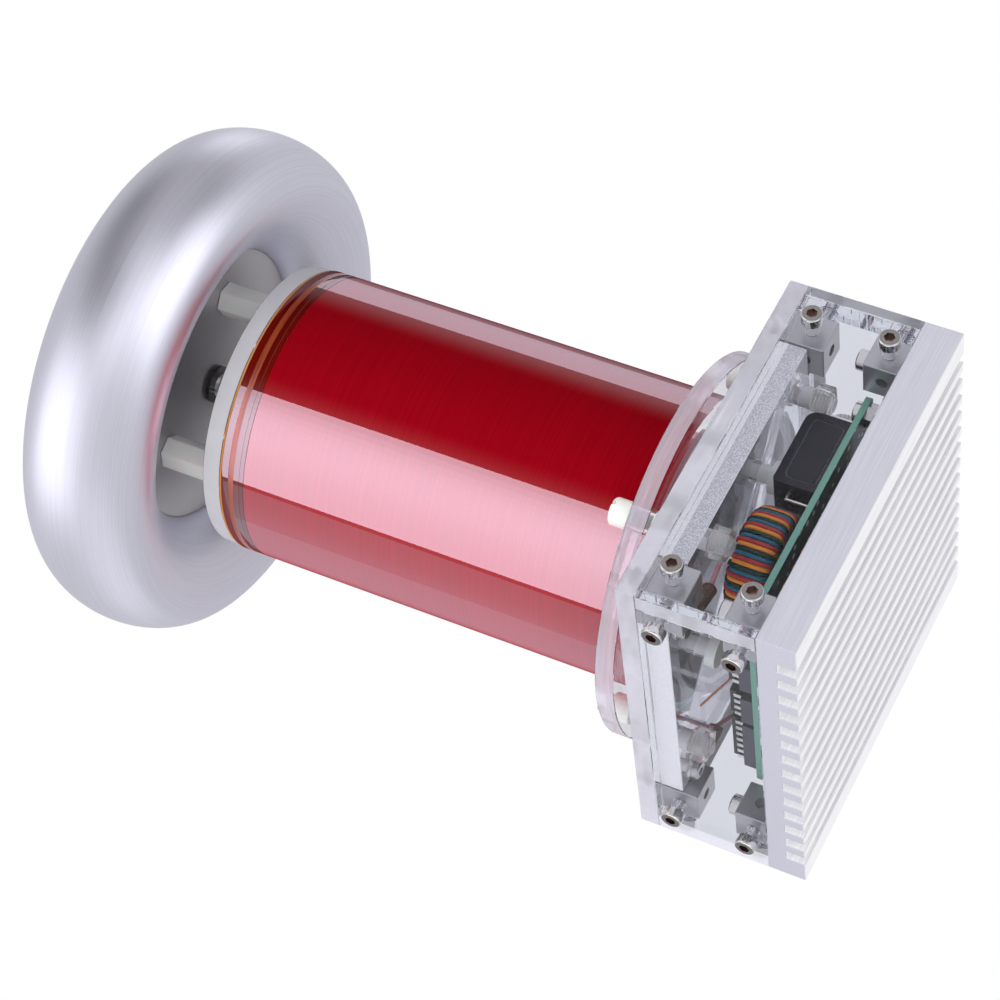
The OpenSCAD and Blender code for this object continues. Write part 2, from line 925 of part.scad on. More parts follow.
module primary_winding() {
    color("rosybrown")
    sweep(primary_path, primary_refs, primary_d, tube_sides);
}

lug_z = inner_z - lug_t;

module terminal_screws() {
    color("gold")
    for (s = sides)
        translate([s * lug_x, lug_y, lug_z])
            rotate([180, 0, 0])
                socket_screw(lug_t + inner_t, screw_d, lug_head_d, lug_head_h,
                    socket_af * 0.8);
}

module lug_at(i) {
    translate([sides[i] * -lug_x, lug_y, lug_z])
        rotate([0, 0, lug_turn[i]])
            children();
}

module terminal_lugs() {
    color("silver")
    for (i = [0, 1])
        lug_at(i) {
            difference() {
                union() {
                    cylinder(d = lug_d, h = lug_t);
                    translate([0, -lug_barrel_d / 2, 0])
                        cube([lug_reach, lug_barrel_d, lug_t]);
                }
                translate([0, 0, -cut])
                    cylinder(d = lug_hole_d, h = lug_t + 2 * cut);
            }
        }
}

module lug_sleeves() {
    color([0.25, 0.25, 0.27])
    for (i = [0, 1])
        lug_at(i)
            translate([lug_reach, 0, lug_t - sleeve_d / 2])
                rotate([0, 90, 0])
                    cylinder(d = sleeve_d, h = sleeve_l);
}

function lug_tip(i) =
    [sides[i] * -lug_x + (lug_reach + sleeve_l) * cos(lug_turn[i]),
        lug_y + (lug_reach + sleeve_l) * sin(lug_turn[i]),
        lug_z + lug_t - sleeve_d / 2];

// Leads from the foot of the heavy winding to the lug screws
module primary_leads() {
    z1 = inner_z - primary_d - lead_d / 2;
    color("rosybrown")
    for (i = [0, 1]) {
        r = i == 1 ? primary_r : primary_out_r;
        a = i == 1 ? primary_start_az : primary_end_az;
        p = [each polar(r, a), z1];
        q = [(i == 1 ? -1 : 1) * lug_x, lug_y, z1];
        v = unit(q - p);
        rod(p - v * lead_d / 2, q - v * (lug_head_d / 2 + side_gap), lead_d);
    }
}

// Leads from the sleeves down to the board
driver_lead_shares = [[[-0.83, -0.55, 9], [-0.76, -0.52, 0]],
    [[0.913, -0.594, 13], [0.985, -0.4, 6.5], [0.985, -0.35, 0]]];
module driver_leads() {
    color("chocolate")
    for (i = [0, 1])
        wire(concat([lug_tip(i)],
            [for (s = driver_lead_shares[i])
                [s[0] * board_half, s[1] * board_half, board_top + s[2] * lead_d * 0.83]]),
            lead_d);
}

ground_shares = [[-0.4, -0.93, 0], [-0.06, -0.6, 0.65], [-0.06, -0.6, 1]];
module ground_lead() {
    color("chocolate")
    wire([for (s = ground_shares)
        [s[0] * board_half, s[1] * board_half,
            inner_z + (board_top - inner_z) * s[2]]], fine_lead_d);
}

module flange_ring() {
    color([0.88, 0.91, 0.94, 0.35])
    difference() {
        translate([0, 0, ring_z])
            cylinder(r = half_w, h = ring_t, $fn = 96);
        translate([0, 0, ring_z - cut])
            cylinder(r = ring_bore_r, h = ring_t + 2 * cut, $fn = 96);
        for (a = flange_az)
            translate([each polar(flange_r, a), ring_z - cut])
                cylinder(d = nylon_d + hole_gap, h = ring_t + 2 * cut);
        rotate([0, 0, primary_end_az])
            translate([ring_bore_r - cut, -slot_w / 2, ring_z - cut])
                cube([primary_out_r + slot_w / 2 - ring_bore_r + cut, slot_w,
                    ring_t + 2 * cut]);
    }
}

module flange_screws() {
    color("whitesmoke")
    for (a = flange_az)
        translate([each polar(flange_r, a), ring_top])
            nylon_screw(ring_top - nut_seat_z + nylon_nut_h + nut_tail, nylon_d,
                nylon_head_d, nylon_head_h);
}

module flange_spacers() {
    color("whitesmoke")
    for (a = flange_az)
        translate([each polar(flange_r, a), lid_top])
            difference() {
                cylinder(d = nylon_head_d, h = spacer_h);
                translate([0, 0, -cut])
                    cylinder(d = nylon_d + hole_gap, h = spacer_h + 2 * cut);
            }
}

module flange_nuts() {
    color("whitesmoke")
    for (a = flange_az)
        translate([each polar(flange_r, a), nut_seat_z - nylon_nut_h])
            nut(nylon_af, nylon_nut_h, nylon_d + thread_gap);
}

module coil_base_screws() {
    color("whitesmoke")
    for (a = stud_az)
        translate([each polar(stud_r, a), inner_z]) {
            translate([0, 0, -stud_head_h])
                cylinder(d = stud_head_d, h = stud_head_h);
            translate([0, 0, -stud_head_h / 2])
                cylinder(d = nylon_d,
                    h = stud_head_h / 2 + inner_t + plate_t + stud_thread_share * cap_t);
        }
}

module bottom_cap() {
    color([0.85, 0.88, 0.9, 0.4])
    difference() {
        translate([0, 0, lid_top])
            cylinder(r = tube_r, h = cap_t);
        for (a = stud_az)
            translate([each polar(stud_r, a), lid_top - cut])
                cylinder(d = nylon_d + thread_gap,
                    h = cut + stud_thread_share * cap_t + tip_gap);
    }
}

module secondary_tube() {
    color([0.95, 0.75, 0.4, 0.5])
    difference() {
        translate([0, 0, cap_top])
            cylinder(r = tube_r, h = tube_l);
        translate([0, 0, cap_top - cut])
            cylinder(r = tube_r - tube_wall, h = tube_l + 2 * cut);
    }
}

module secondary_winding() {
    color([0.65, 0.07, 0.1])
    difference() {
        translate([0, 0, cap_top + bare_foot])
            cylinder(r = coil_r, h = tube_l - bare_foot - bare_top);
        translate([0, 0, cap_top + bare_foot - cut])
            cylinder(r = tube_r, h = tube_l - bare_foot - bare_top + 2 * cut);
    }
}

module top_cap() {
    color([0.85, 0.88, 0.9, 0.4])
    difference() {
        translate([0, 0, tube_top])
            cylinder(r = tube_r, h = cap_t);
        for (a = stud_az)
            translate([each polar(stud_r, a), tube_top - cut])
                cylinder(d = nylon_d + hole_gap, h = cap_t + 2 * cut);
    }
}

module toroid_standoffs() {
    depth = standoff_h * 0.4;
    color("whitesmoke")
    for (a = stud_az)
        translate([each polar(stud_r, a), coil_top])
            difference() {
                hexagon(nylon_af, standoff_h);
                translate([0, 0, -cut])
                    cylinder(d = nylon_d + thread_gap, h = depth + cut);
                translate([0, 0, standoff_h - depth])
                    cylinder(d = nylon_d + thread_gap, h = depth + cut);
            }
}

standoff_thread_l = standoff_h * 0.4 - tip_gap;

module standoff_lower_screws() {
    color("whitesmoke")
    for (a = stud_az)
        translate([each polar(stud_r, a), tube_top])
            rotate([180, 0, 0])
                nylon_screw(cap_t + standoff_thread_l, nylon_d, stud_head_d,
                    stud_head_h);
}

module standoff_upper_screws() {
    color("whitesmoke")
    for (a = stud_az)
        translate([each polar(stud_r, a), toroid_floor_top])
            nylon_screw(2 * floor_t + standoff_thread_l, nylon_d, stud_head_d,
                stud_head_h);
}

// Section of one spun half: s is -1 for the lower half and 1 for the upper,
// web is the height of the face of its floor on that side of the sheet
function outer_arc(s, t) =
    let (a = toroid_r - crest_r - t, b = toroid_h / 2 - t)
    [for (i = [0:section_n])
        [crest_r + a * cos(90 * i / section_n), seam_z + s * b * sin(90 * i / section_n)]];
function inner_arc(s, web, t, reach) =
    let (a = crest_r - web_r - t, b = abs(seam_z + s * toroid_h / 2 - web) - reach)
    [for (i = [1:section_n])
        let (q = 90 * i / section_n)
        [crest_r - a * pow(sin(q), 2 / inner_power),
            web + s * b * pow(cos(q), 2 / inner_power)]];

// Spun sheet from the floor out to the rim, open towards the seam
module spun_half(s, web_out, web_in) {
    rotate_extrude($fn = 96)
        polygon(concat(
            outer_arc(s, 0),
            inner_arc(s, web_out, 0, 0),
            [[web_r, web_in]],
            [for (i = [section_n - 1:-1:0])
                inner_arc(s, web_in, sheet_t, sheet_t)[i]],
            [for (i = [section_n:-1:0]) outer_arc(s, sheet_t)[i]]));
}

// Flat floor of one spun half, with its screw holes
module spun_floor(z) {
    difference() {
        translate([0, 0, z])
            cylinder(r = web_r, h = floor_t, $fn = 96);
        translate([0, 0, z - cut])
            cylinder(d = bolt_d + hole_gap, h = floor_t + 2 * cut);
        for (a = stud_az)
            translate([each polar(stud_r, a), z - cut])
                cylinder(d = nylon_d + hole_gap, h = floor_t + 2 * cut);
    }
}

module toroid_lower() {
    color("silver")
    spun_half(-1, toroid_floor_z, toroid_upper_z);
}

module toroid_lower_floor() {
    color("silver")
    spun_floor(toroid_floor_z);
}

module toroid_upper() {
    color("silver")
    spun_half(1, toroid_floor_top, toroid_upper_z);
}

module toroid_upper_floor() {
    color("silver")
    spun_floor(toroid_upper_z);
}

module terminal_bolt() {
    seat = toroid_floor_z - washer_t;
    color("dimgray")
    difference() {
        union() {
            translate([0, 0, seat - bolt_head_h])
                cylinder(d = bolt_head_d, h = bolt_head_h);
            translate([0, 0, seat - bolt_head_h / 2])
                cylinder(d = bolt_d, h = bolt_head_h / 2 + washer_t + 2 * floor_t
                    + bolt_nut_h + bolt_tail);
        }
        translate([0, 0, seat - bolt_head_h - cut])
            hexagon(socket_af, cut + bolt_head_h / 2);
    }
}

module terminal_washer() {
    color([0.1, 0.1, 0.1])
    translate([0, 0, toroid_floor_z - washer_t])
        difference() {
            cylinder(d = washer_d, h = washer_t);
            translate([0, 0, -cut])
                cylinder(d = bolt_d + hole_gap, h = washer_t + 2 * cut);
        }
}

module terminal_nut() {
    color("silver")
    translate([0, 0, toroid_floor_top])
        nut(bolt_head_d, bolt_nut_h, bolt_d + thread_gap);
}

// Least gap between wire middles, less one wire, over the points of a winding
function least(a, b, skip) =
    min([for (i = [0:len(a) - 1]) for (j = [0:len(b) - 1])
        if (skip == 0 || abs(i - j) > skip) norm(a[i] - b[j])]);
union() {
    echo(ribbon_gap = min([for (w = [0:wire_count - 2])
        least(ribbon_path(w), ribbon_path(w + 1), 0)]) - ribbon_d);
    echo(ribbon_turn_gap = least(ribbon_path(0), ribbon_path(0), 6) - ribbon_d);
    echo(primary_gap = least(primary_path, primary_path, 6) - primary_d);
}

heat_sink();
side_plate_right();
side_plate_left();
side_plate_front();
side_plate_back();
top_plate();
inner_plate();
corner_blocks_lower();
corner_blocks_upper();
side_screws_right_left();
side_screws_front_back();
heat_sink_screws();
top_plate_screws();
circuit_board();
board_standoffs();
board_screws();
power_packages();
thermal_pads();
package_screws();
package_leads();
film_capacitor();
capacitor_leads();
transformer_core();
winding_orange();
winding_red();
winding_blue();
winding_green();
current_transformer();
ic_sockets();
driver_ics();
ic_pins();
power_socket();
power_socket_nut();
supply_leads();
primary_winding();
terminal_screws();
terminal_lugs();
lug_sleeves();
primary_leads();
driver_leads();
ground_lead();
flange_ring();
flange_screws();
flange_spacers();
flange_nuts();
coil_base_screws();
bottom_cap();
secondary_tube();
secondary_winding();
top_cap();
toroid_standoffs();
standoff_lower_screws();
standoff_upper_screws();
toroid_lower();
toroid_lower_floor();
toroid_upper();
toroid_upper_floor();
terminal_bolt();
terminal_washer();
terminal_nut();
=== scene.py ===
# %% [markdown]
# A desktop resonant transformer stands on a finned heat sink. Its pieces could be modelled
# anywhere and fitted at the end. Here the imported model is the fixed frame: every piece is made in
# metres where that frame says, and rides on its one body, "root".

# %% Load the frame
import bmesh
import bpy
from math import copysign, cos, hypot, pi, radians, sin, sqrt, tan
from mathutils import Matrix, Vector


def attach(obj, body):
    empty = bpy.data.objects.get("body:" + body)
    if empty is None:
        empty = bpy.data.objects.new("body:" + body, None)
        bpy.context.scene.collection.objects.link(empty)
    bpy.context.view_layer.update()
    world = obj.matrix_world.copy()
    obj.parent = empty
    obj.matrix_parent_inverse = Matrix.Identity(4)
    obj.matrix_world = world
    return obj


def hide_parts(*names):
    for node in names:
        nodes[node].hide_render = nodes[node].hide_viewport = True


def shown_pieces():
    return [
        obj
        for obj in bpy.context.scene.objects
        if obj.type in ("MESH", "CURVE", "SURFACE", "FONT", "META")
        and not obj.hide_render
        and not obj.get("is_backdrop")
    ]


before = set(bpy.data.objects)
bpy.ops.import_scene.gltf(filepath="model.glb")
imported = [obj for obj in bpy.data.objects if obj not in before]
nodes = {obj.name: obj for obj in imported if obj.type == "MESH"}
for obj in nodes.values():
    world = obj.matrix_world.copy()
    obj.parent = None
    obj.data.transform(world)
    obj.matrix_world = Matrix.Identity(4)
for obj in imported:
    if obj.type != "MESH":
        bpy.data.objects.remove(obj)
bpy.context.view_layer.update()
MM = 0.001

# %% [markdown]
# The photograph looks up at the part, which lies on its side there, through a long lens. A view
# could be turned by hand until it looks right; this one was solved from the corners of the box.

# %% Camera at the photograph's angle
scene = bpy.context.scene
bpy.ops.object.camera_add(location=(0.641268, -0.411994, -0.173483))
camera = bpy.context.object
camera.name = "photo_camera"
right = Vector((-0.098, 0.448, -0.889)).normalized()
look = right.cross(Vector((-0.600, -0.739, -0.306))).normalized()
down = look.cross(right).normalized()
camera.rotation_mode = "QUATERNION"
camera.rotation_quaternion = Matrix((right, -down, -look)).transposed().to_quaternion()
camera.data.lens, camera.data.sensor_width = 114.99, 36
camera.data.clip_start, camera.data.clip_end = 0.01, 20
scene.camera = camera
print("camera:", round(camera.location.length, 3), "m from the foot of the part")

# %% [markdown]
# A white studio gives the pale ground, and the shape comes from what metal and varnish mirror. One
# white world would leave both flat, so the surroundings answer each kind of ray on its own: white
# for the camera, a little less through clear plates, and one soft dark flag for general light and
# for mirrors. One helper that adds, sets and links a node takes the place of wiring by hand.

# %% Surroundings
def add(tree, kind, sockets=(), **settings):
    """Adds a node with its settings. Each socket gets a value, or a link from another socket."""
    node = tree.nodes.new("ShaderNode" + kind)
    for key, value in settings.items():
        setattr(node, key, value)
    for key, value in dict(sockets).items():
        if isinstance(value, bpy.types.NodeSocket):
            tree.links.new(value, node.inputs[key])
        else:
            node.inputs[key].default_value = value
    return node

def ramp(tree, socket, start, stop, low=0.0, high=1.0, **settings):
    """Goes from low to high as the socket goes from start to stop."""
    return add(tree, "MapRange", {"Value": socket, "From Min": start, "From Max": stop,
        "To Min": low, "To Max": high}, **settings).outputs[0]

def heading(azimuth, elevation):
    """The direction to an azimuth (0 is +X) and an elevation, in degrees."""
    a, e = radians(azimuth), radians(elevation)
    return Vector((cos(a) * cos(e), sin(a) * cos(e), sin(e)))

world = bpy.data.worlds.new("studio")
scene.world = world
world.use_nodes = True
world.cycles.sampling_method = "NONE"
sky = world.node_tree
sky.nodes.clear()
ray = add(sky, "LightPath").outputs
outward = add(sky, "TexCoord").outputs["Generated"]

def ground(level, tint=(1, 1, 1)):
    return add(sky, "Background", {"Color": (*tint, 1), "Strength": level}).outputs[0]

def flagged(azimuth, elevation, wide, tight, bright, dark, tint=(1, 1, 1)):
    """A ground with one soft dark flag: bright outside the cosine wide, dark inside tight."""
    cosine = add(sky, "VectorMath", {0: outward, 1: heading(azimuth, elevation)},
        operation="DOT_PRODUCT").outputs["Value"]
    level = ramp(sky, cosine, wide, tight, bright, dark, interpolation_type="SMOOTHSTEP")
    return ground(level, tint)

answers = {"Is Diffuse Ray": flagged(75, 5, -0.1, 0.85, 1.02, 0.04),
    "Is Glossy Ray": flagged(22, 20, 0.55, 0.86, 0.62, 0.01, (0.97, 0.97, 1.0)),
    "Is Transmission Ray": ground(0.86, (0.975, 0.975, 1.0)), "Is Camera Ray": ground(1.0)}
seen = ground(0.5)
for kind, answer in answers.items():
    seen = add(sky, "MixShader", {"Fac": ray[kind], 1: seen, 2: answer}).outputs[0]
add(sky, "OutputWorld", {"Surface": seen})
scene.view_settings.view_transform = "Standard"
for kind, bounces in (("max", 28), ("transmission", 28), ("glossy", 28), ("transparent_max", 32)):
    setattr(scene.cycles, kind + "_bounces", bounces)
print("surroundings:", len(answers), "kinds of ray")

# %% [markdown]
# The lamps are large and soft. Shared lamps would suit either the metal or the varnish, so each is
# linked to a group of pieces. The glossy coil has a wheel of tall strips, whose edges draw the
# bands on the varnish: five alone, and seventeen that overlap in steps as one long key light.
# Neighbours differ by 3 mm in distance, so that no two share a plane.

# %% Lamps
coil_group = bpy.data.collections.new("lit_as_coil")
toroid_group = bpy.data.collections.new("lit_as_toroid")
rest_group = bpy.data.collections.new("lit_as_rest")

def lamp(name, azimuth, elevation, distance, wide, high, radiance, receivers, target_z):
    """A soft panel that looks at a point of the axis from an azimuth and an elevation."""
    back = heading(azimuth, elevation)
    bpy.ops.object.light_add(type="AREA", location=Vector((0, 0, target_z)) + back * distance)
    l = bpy.context.object
    l.name = name
    l.rotation_mode = "QUATERNION"
    l.rotation_quaternion = back.to_track_quat("Z", "Y")
    l.data.shape = "RECTANGLE"
    l.data.size, l.data.size_y = wide, high
    l.data.energy = radiance * pi * wide * high
    l.visible_camera = l.visible_transmission = False
    l.light_linking.receiver_collection = receivers
    return l

def span(distance, half_angle):
    return 2 * distance * tan(radians(half_angle))

PINK, COOL = (0.93, 0.83, 1.0), (0.4, 0.8, 1.0)
strips = [("coil_back", 97, 17, 2.6, PINK), ("coil_top", 131, 17, 0.8, PINK),
    ("coil_side", -122.8, 17.2, 1.0, COOL), ("coil_edge", -157.5, 17.5, 1.5, COOL),
    ("coil_rim", -194, 19, 1.6, COOL)]
KEY_START, KEY_STEP = -27.975, 4.625
key_levels = (2.5, 2.8, 3.2, 3.55, 3.8, 3.95, 4.0, 4.0, 3.95, 3.85, 3.7, 3.55, 3.45, 3.3, 3.2,
    3.1, 3.0)
for i, radiance in enumerate(key_levels):
    inward = {0: 1, len(key_levels) - 1: -1}.get(i, 0)  # the two end strips are half as wide
    strips.append((f"coil_key_{i + 1}", KEY_START - KEY_STEP * i - KEY_STEP / 2 * inward,
        KEY_STEP - KEY_STEP / 2 * abs(inward), radiance, PINK))
for i, (name, azimuth, half_angle, radiance, tint) in enumerate(strips):
    far = 0.9 + 0.003 * (i % 2)
    l = lamp(name, azimuth, 0, far, span(far, half_angle), 2.1, radiance, coil_group, 0.05)
    l.data.color = tint
    l.visible_diffuse = False
    l.light_linking.blocker_collection = coil_group
for name, azimuth, elevation, wide, high, radiance in (
        ("low", -33, -60, 1.0, 1.0, 0.35), ("high", -33, 50, 1.0, 1.0, 0.45),
        ("under", 147, -20, 1.2, 1.2, 0.45), ("flag", 22, 20, 1.7, 1.5, 0.85),
        ("front", -95, -5, 1.0, 1.0, 1.1)):
    lamp(f"panel_{name}", azimuth, elevation, 1.0, wide, high, radiance, rest_group, 0.1)
for name, azimuth, elevation, across, up, radiance in (
        ("front", -80, 40, 28, 22, 1.0), ("below", 7, -37, 29, 27, 1.12),
        ("left", -130, -8, 38, 18, 0.28), ("spot", 90, 24, 9, 7, 0.95),
        ("shade", 116, -14, 46, 17, 0.02), ("hood", 8, 54, 18, 12, 0.15),
        ("flag", 30, 20, 28, 17, 0.48), ("middle", -13, 4, 25, 14, 0.88),
        ("deep", 140, 14, 18, 11, 0.0)):
    far = 1.5
    l = lamp(f"toroid_{name}", azimuth, elevation, far, span(far, across), span(far, up),
        radiance, toroid_group, 0.19)
    l.data.color = (0.975, 0.97, 1.0)

# %% [markdown]
# The floor is a plain pale plane under the fins. The camera stands below it, so it shows only its
# upper face. The lamps could light it too, but one passes under it and would draw a bright edge,
# so the surroundings alone do.

# %% Floor
bpy.ops.mesh.primitive_plane_add(size=6, location=(0, 0, -0.0002))
floor = bpy.context.object
floor.name = "floor"
floor_mat = bpy.data.materials.new("pale_floor")
floor_mat.use_nodes = True
tree = floor_mat.node_tree
tree.nodes.clear()
upper = add(tree, "BsdfPrincipled", {"Base Color": (0.93, 0.93, 0.93, 1), "Roughness": 0.6})
under = add(tree, "BsdfTransparent")
sides = add(tree, "MixShader", {"Fac": add(tree, "NewGeometry").outputs["Backfacing"],
    1: upper.outputs[0], 2: under.outputs[0]})
add(tree, "OutputMaterial", {"Surface": sides.outputs[0]})
floor.data.materials.append(floor_mat)
for kind in ("diffuse", "glossy", "transmission", "shadow"):
    setattr(floor, "visible_" + kind, False)
floor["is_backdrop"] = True
print("floor:", round(floor.dimensions.x, 1), "m across")

# %% [markdown]
# Three effects come back in many finishes: fine grain drawn out along one direction, the blotches
# and rubs of handling, and the circular lines that turning leaves. Each finish could repeat those
# nodes, but as a node group each is built once.

# %% Groups: drawn grain and handling marks
def group(name, outputs, **inputs):
    """A new node group. Gives its tree, the place on the piece, and its inputs as sockets."""
    tree = bpy.data.node_groups.new(name, "ShaderNodeTree")
    for key, value in inputs.items():
        kind = "NodeSocketVector" if isinstance(value, tuple) else "NodeSocketFloat"
        socket = tree.interface.new_socket(name=key, in_out="INPUT", socket_type=kind)
        socket.default_value = value
    for key in outputs:
        tree.interface.new_socket(name=key, in_out="OUTPUT", socket_type="NodeSocketFloat")
    spot = add(tree, "TexCoord").outputs["Object"]
    return tree, spot, tree.nodes.new("NodeGroupInput").outputs

def give(tree, **results):
    out = tree.nodes.new("NodeGroupOutput")
    for key, socket in results.items():
        tree.links.new(socket, out.inputs[key])
    print(f"group {tree.name}:", len(tree.nodes), "nodes")

grain, spot, given = group("drawn_grain", ("Height", "Mask"), Stretch=(400, 20, 400), Detail=3)
drawn = add(grain, "VectorMath", {0: spot, 1: given["Stretch"]}, operation="MULTIPLY")
noise = add(grain, "TexNoise", {"Vector": drawn.outputs[0], "Scale": 1.0,
    "Detail": given["Detail"]}).outputs["Fac"]
give(grain, Height=noise, Mask=ramp(grain, noise, 0.42, 0.62))

marks, spot, given = group("handling_marks", ("Value", "Spots"), Scale=60, Low=0.3, High=0.5)
cloud = add(marks, "TexNoise", {"Vector": spot, "Scale": given["Scale"], "Detail": 5.0,
    "Roughness": 0.6}).outputs["Fac"]
finer = add(marks, "Math", {0: given["Scale"], 1: 9.0}, operation="MULTIPLY").outputs[0]
rubs = add(marks, "TexNoise", {"Vector": spot, "Scale": finer, "Detail": 2.0}).outputs["Fac"]
give(marks, Value=ramp(marks, cloud, 0.35, 0.68, given["Low"], given["High"]),
    Spots=ramp(marks, rubs, 0.68, 0.76))

# %% Group: turned lines
lines, spot, given = group("turned_lines", ("Height", "Mask"), Across=900, Around=3)
axes = add(lines, "SeparateXYZ", {0: spot}).outputs
flat = add(lines, "CombineXYZ", {"X": axes["X"], "Y": axes["Y"]}).outputs[0]
radius = add(lines, "VectorMath", {0: flat}, operation="LENGTH").outputs["Value"]
angle = add(lines, "Math", {0: axes["Y"], 1: axes["X"]}, operation="ARCTAN2").outputs[0]
unrolled = {axis: add(lines, "Math", {0: way, 1: given[rate]}, operation="MULTIPLY").outputs[0]
    for axis, way, rate in (("X", angle, "Around"), ("Y", radius, "Across"),
        ("Z", axes["Z"], "Across"))}
noise = add(lines, "TexNoise", {"Vector": add(lines, "CombineXYZ", unrolled).outputs[0],
    "Scale": 1.0, "Detail": 3.0}).outputs["Fac"]
give(lines, Height=noise, Mask=ramp(lines, noise, 0.4, 0.65))

# %% [markdown]
# A finish starts from one Principled shader. What is the same all over is set on its own sockets,
# where the export reads it; colours between two tones, varied roughness and bumps come from the
# groups. Clear finishes let lamp rays pass unbent through a Light Path mix, or the box would stand
# in its own shadow.

# %% Finish maker
def shader(mat):
    return mat.node_tree.nodes["Principled BSDF"]

def finish(name, color, rough, metal=0.0, through=None, **sockets):
    """A material; an underscore in a socket's name stands for a space. Lamp rays pass straight
    through it in the tint that through gives, and every other ray meets its shader."""
    mat = bpy.data.materials.new(name)
    mat.use_nodes = True
    mat.diffuse_color = (*color, 1)
    values = {"Base Color": (*color, 1), "Roughness": rough, "Metallic": metal, **sockets}
    for key, value in values.items():
        shader(mat).inputs[key.replace("_", " ")].default_value = value
    if through:
        tree = mat.node_tree
        clear = add(tree, "BsdfTransparent", {"Color": (*through, 1)}).outputs[0]
        mix = add(tree, "MixShader", {"Fac": add(tree, "LightPath").outputs["Is Shadow Ray"],
            1: shader(mat).outputs[0], 2: clear})
        tree.links.new(mix.outputs[0], tree.nodes["Material Output"].inputs["Surface"])
    print("finish:", name)
    return mat

def effect(mat, tree, **values):
    return add(mat.node_tree, "Group", values, node_tree=tree).outputs

def feed(mat, key, socket):
    mat.node_tree.links.new(socket, shader(mat).inputs[key])

def vary_color(mat, mask, low, high):
    mix = add(mat.node_tree, "Mix", {0: mask, 6: (*low, 1), 7: (*high, 1)}, data_type="RGBA")
    feed(mat, "Base Color", mix.outputs[2])

def vary_rough(mat, mask, low, high):
    feed(mat, "Roughness", ramp(mat.node_tree, mask, 0.0, 1.0, low, high))

def emboss(mat, height, strength, distance):
    bump = add(mat.node_tree, "Bump", {"Height": height, "Strength": strength,
        "Distance": distance})
    feed(mat, "Normal", bump.outputs[0])

def marked(name, color, rough, metal=0.0, scale=90, tones=None, blur=None, relief=None,
        **sockets):
    """A finish with handling marks: tones are its two colours; blur and relief name the output
    of the marks that drives the roughness or the bump, and give its two numbers."""
    mat = finish(name, color, rough, metal, **sockets)
    rubs = effect(mat, marks, Scale=scale)
    if tones:
        vary_color(mat, rubs["Value"], *tones)
    if blur:
        vary_rough(mat, rubs[blur[0]], *blur[1:])
    if relief:
        emboss(mat, rubs[relief[0]], *relief[1:])
    return mat

# %% [markdown]
# One metal for all the aluminium would be quicker, but the marks of the tools tell the pieces
# apart. The heat sink is extruded, so its grain runs along the fins. Its groove walls and floors
# are painted paler and less metallic, as painted light that lifts the shade between the fins, and
# its fin tips are painted paler too, as a painted highlight.
# The corner blocks are milled and rubbed to a satin grey. The toroid is spun from sheet and rubbed
# down, so its lines run round it and its blur is wide; its lower floor is painted darker, as
# painted shade in the ring's hollow.

# %% Aluminium
def extruded(name, color, rough, metal, low, high):
    mat = finish(name, color, rough, metal)
    vary_color(mat, effect(mat, grain, Stretch=(2600, 40, 2600), Detail=4)["Mask"], low, high)
    return mat

extruded_aluminium = extruded("extruded_aluminium", (0.74, 0.735, 0.79), 0.42, 0.85,
    (0.69, 0.69, 0.785), (0.755, 0.755, 0.845))
rubs = effect(extruded_aluminium, marks, Scale=130)
vary_rough(extruded_aluminium, rubs["Value"], 0.4, 0.6)
emboss(extruded_aluminium, rubs["Spots"], 0.3, 0.00006)
# Painted light: the groove walls and floors are paler and less metallic than the aluminium, to lift
# the shade between the fins.
groove_painted_light = extruded("groove_painted_light", (0.95, 0.945, 0.97), 0.5, 0.1,
    (0.86, 0.855, 0.88), (0.97, 0.965, 0.98))
# Painted highlight: the fin tips are paler and less metallic than the aluminium.
fin_tips_painted_light = extruded("fin_tips_painted_light", (0.93, 0.925, 0.96), 0.4, 0.6,
    (0.86, 0.855, 0.89), (0.96, 0.955, 0.98))
vary_rough(fin_tips_painted_light, effect(fin_tips_painted_light, marks, Scale=130)["Value"], 0.3, 0.6)

milled_aluminium = marked("milled_aluminium", (0.5, 0.49, 0.51), 0.34, 0.8, 90.0,
    ((0.45, 0.44, 0.46), (0.55, 0.54, 0.56)), ("Value", 0.3, 0.38))

spun_aluminium = finish("spun_aluminium", (0.8, 0.795, 0.89), 0.36, 1.0)
rings = effect(spun_aluminium, lines, Across=4200, Around=1.2)
vary_color(spun_aluminium, rings["Mask"], (0.775, 0.77, 0.87), (0.83, 0.825, 0.915))
vary_rough(spun_aluminium, effect(spun_aluminium, marks, Scale=45)["Value"], 0.38, 0.48)
emboss(spun_aluminium, rings["Height"], 0.12, 0.00003)
# Painted shade: a darker copy of the spun aluminium for the lower floor, in the ring's hollow; its
# blotches are handling marks.
spun_floor = marked("spun_floor", (0.6, 0.575, 0.59), 0.45, 1.0, 60.0,
    ((0.46, 0.435, 0.45), (0.72, 0.7, 0.72)), ("Value", 0.35, 0.55))
emboss(spun_floor, effect(spun_floor, lines, Across=4200, Around=1.2)["Height"], 0.12, 0.00003)

# %% [markdown]
# Real acrylic has an index of 1.49. Six plates of it, drawn as solid glass, mirror each other until
# the parts behind are lost, so the plates have 1.2 and the pieces inside them 1.08, which keeps
# the view that the photograph gives. The sawn edges are the same plastic left matt by the blade,
# so they catch the light as pale bands. On the inner plate, the edges that face along X are painted
# grey below a line, as painted shade, and only a strip above it stays pale.

# %% Acrylic
def clear_plastic(name, color, index):
    return marked(name, color, 0.0, blur=("Spots", 0.0, 0.06), Transmission_Weight=1.0,
        IOR=index, through=(0.97, 0.97, 0.98))

clear_acrylic = clear_plastic("clear_acrylic", (0.9, 0.91, 0.945), 1.2)
inner_acrylic = clear_plastic("inner_acrylic", (0.96, 0.962, 0.98), 1.08)

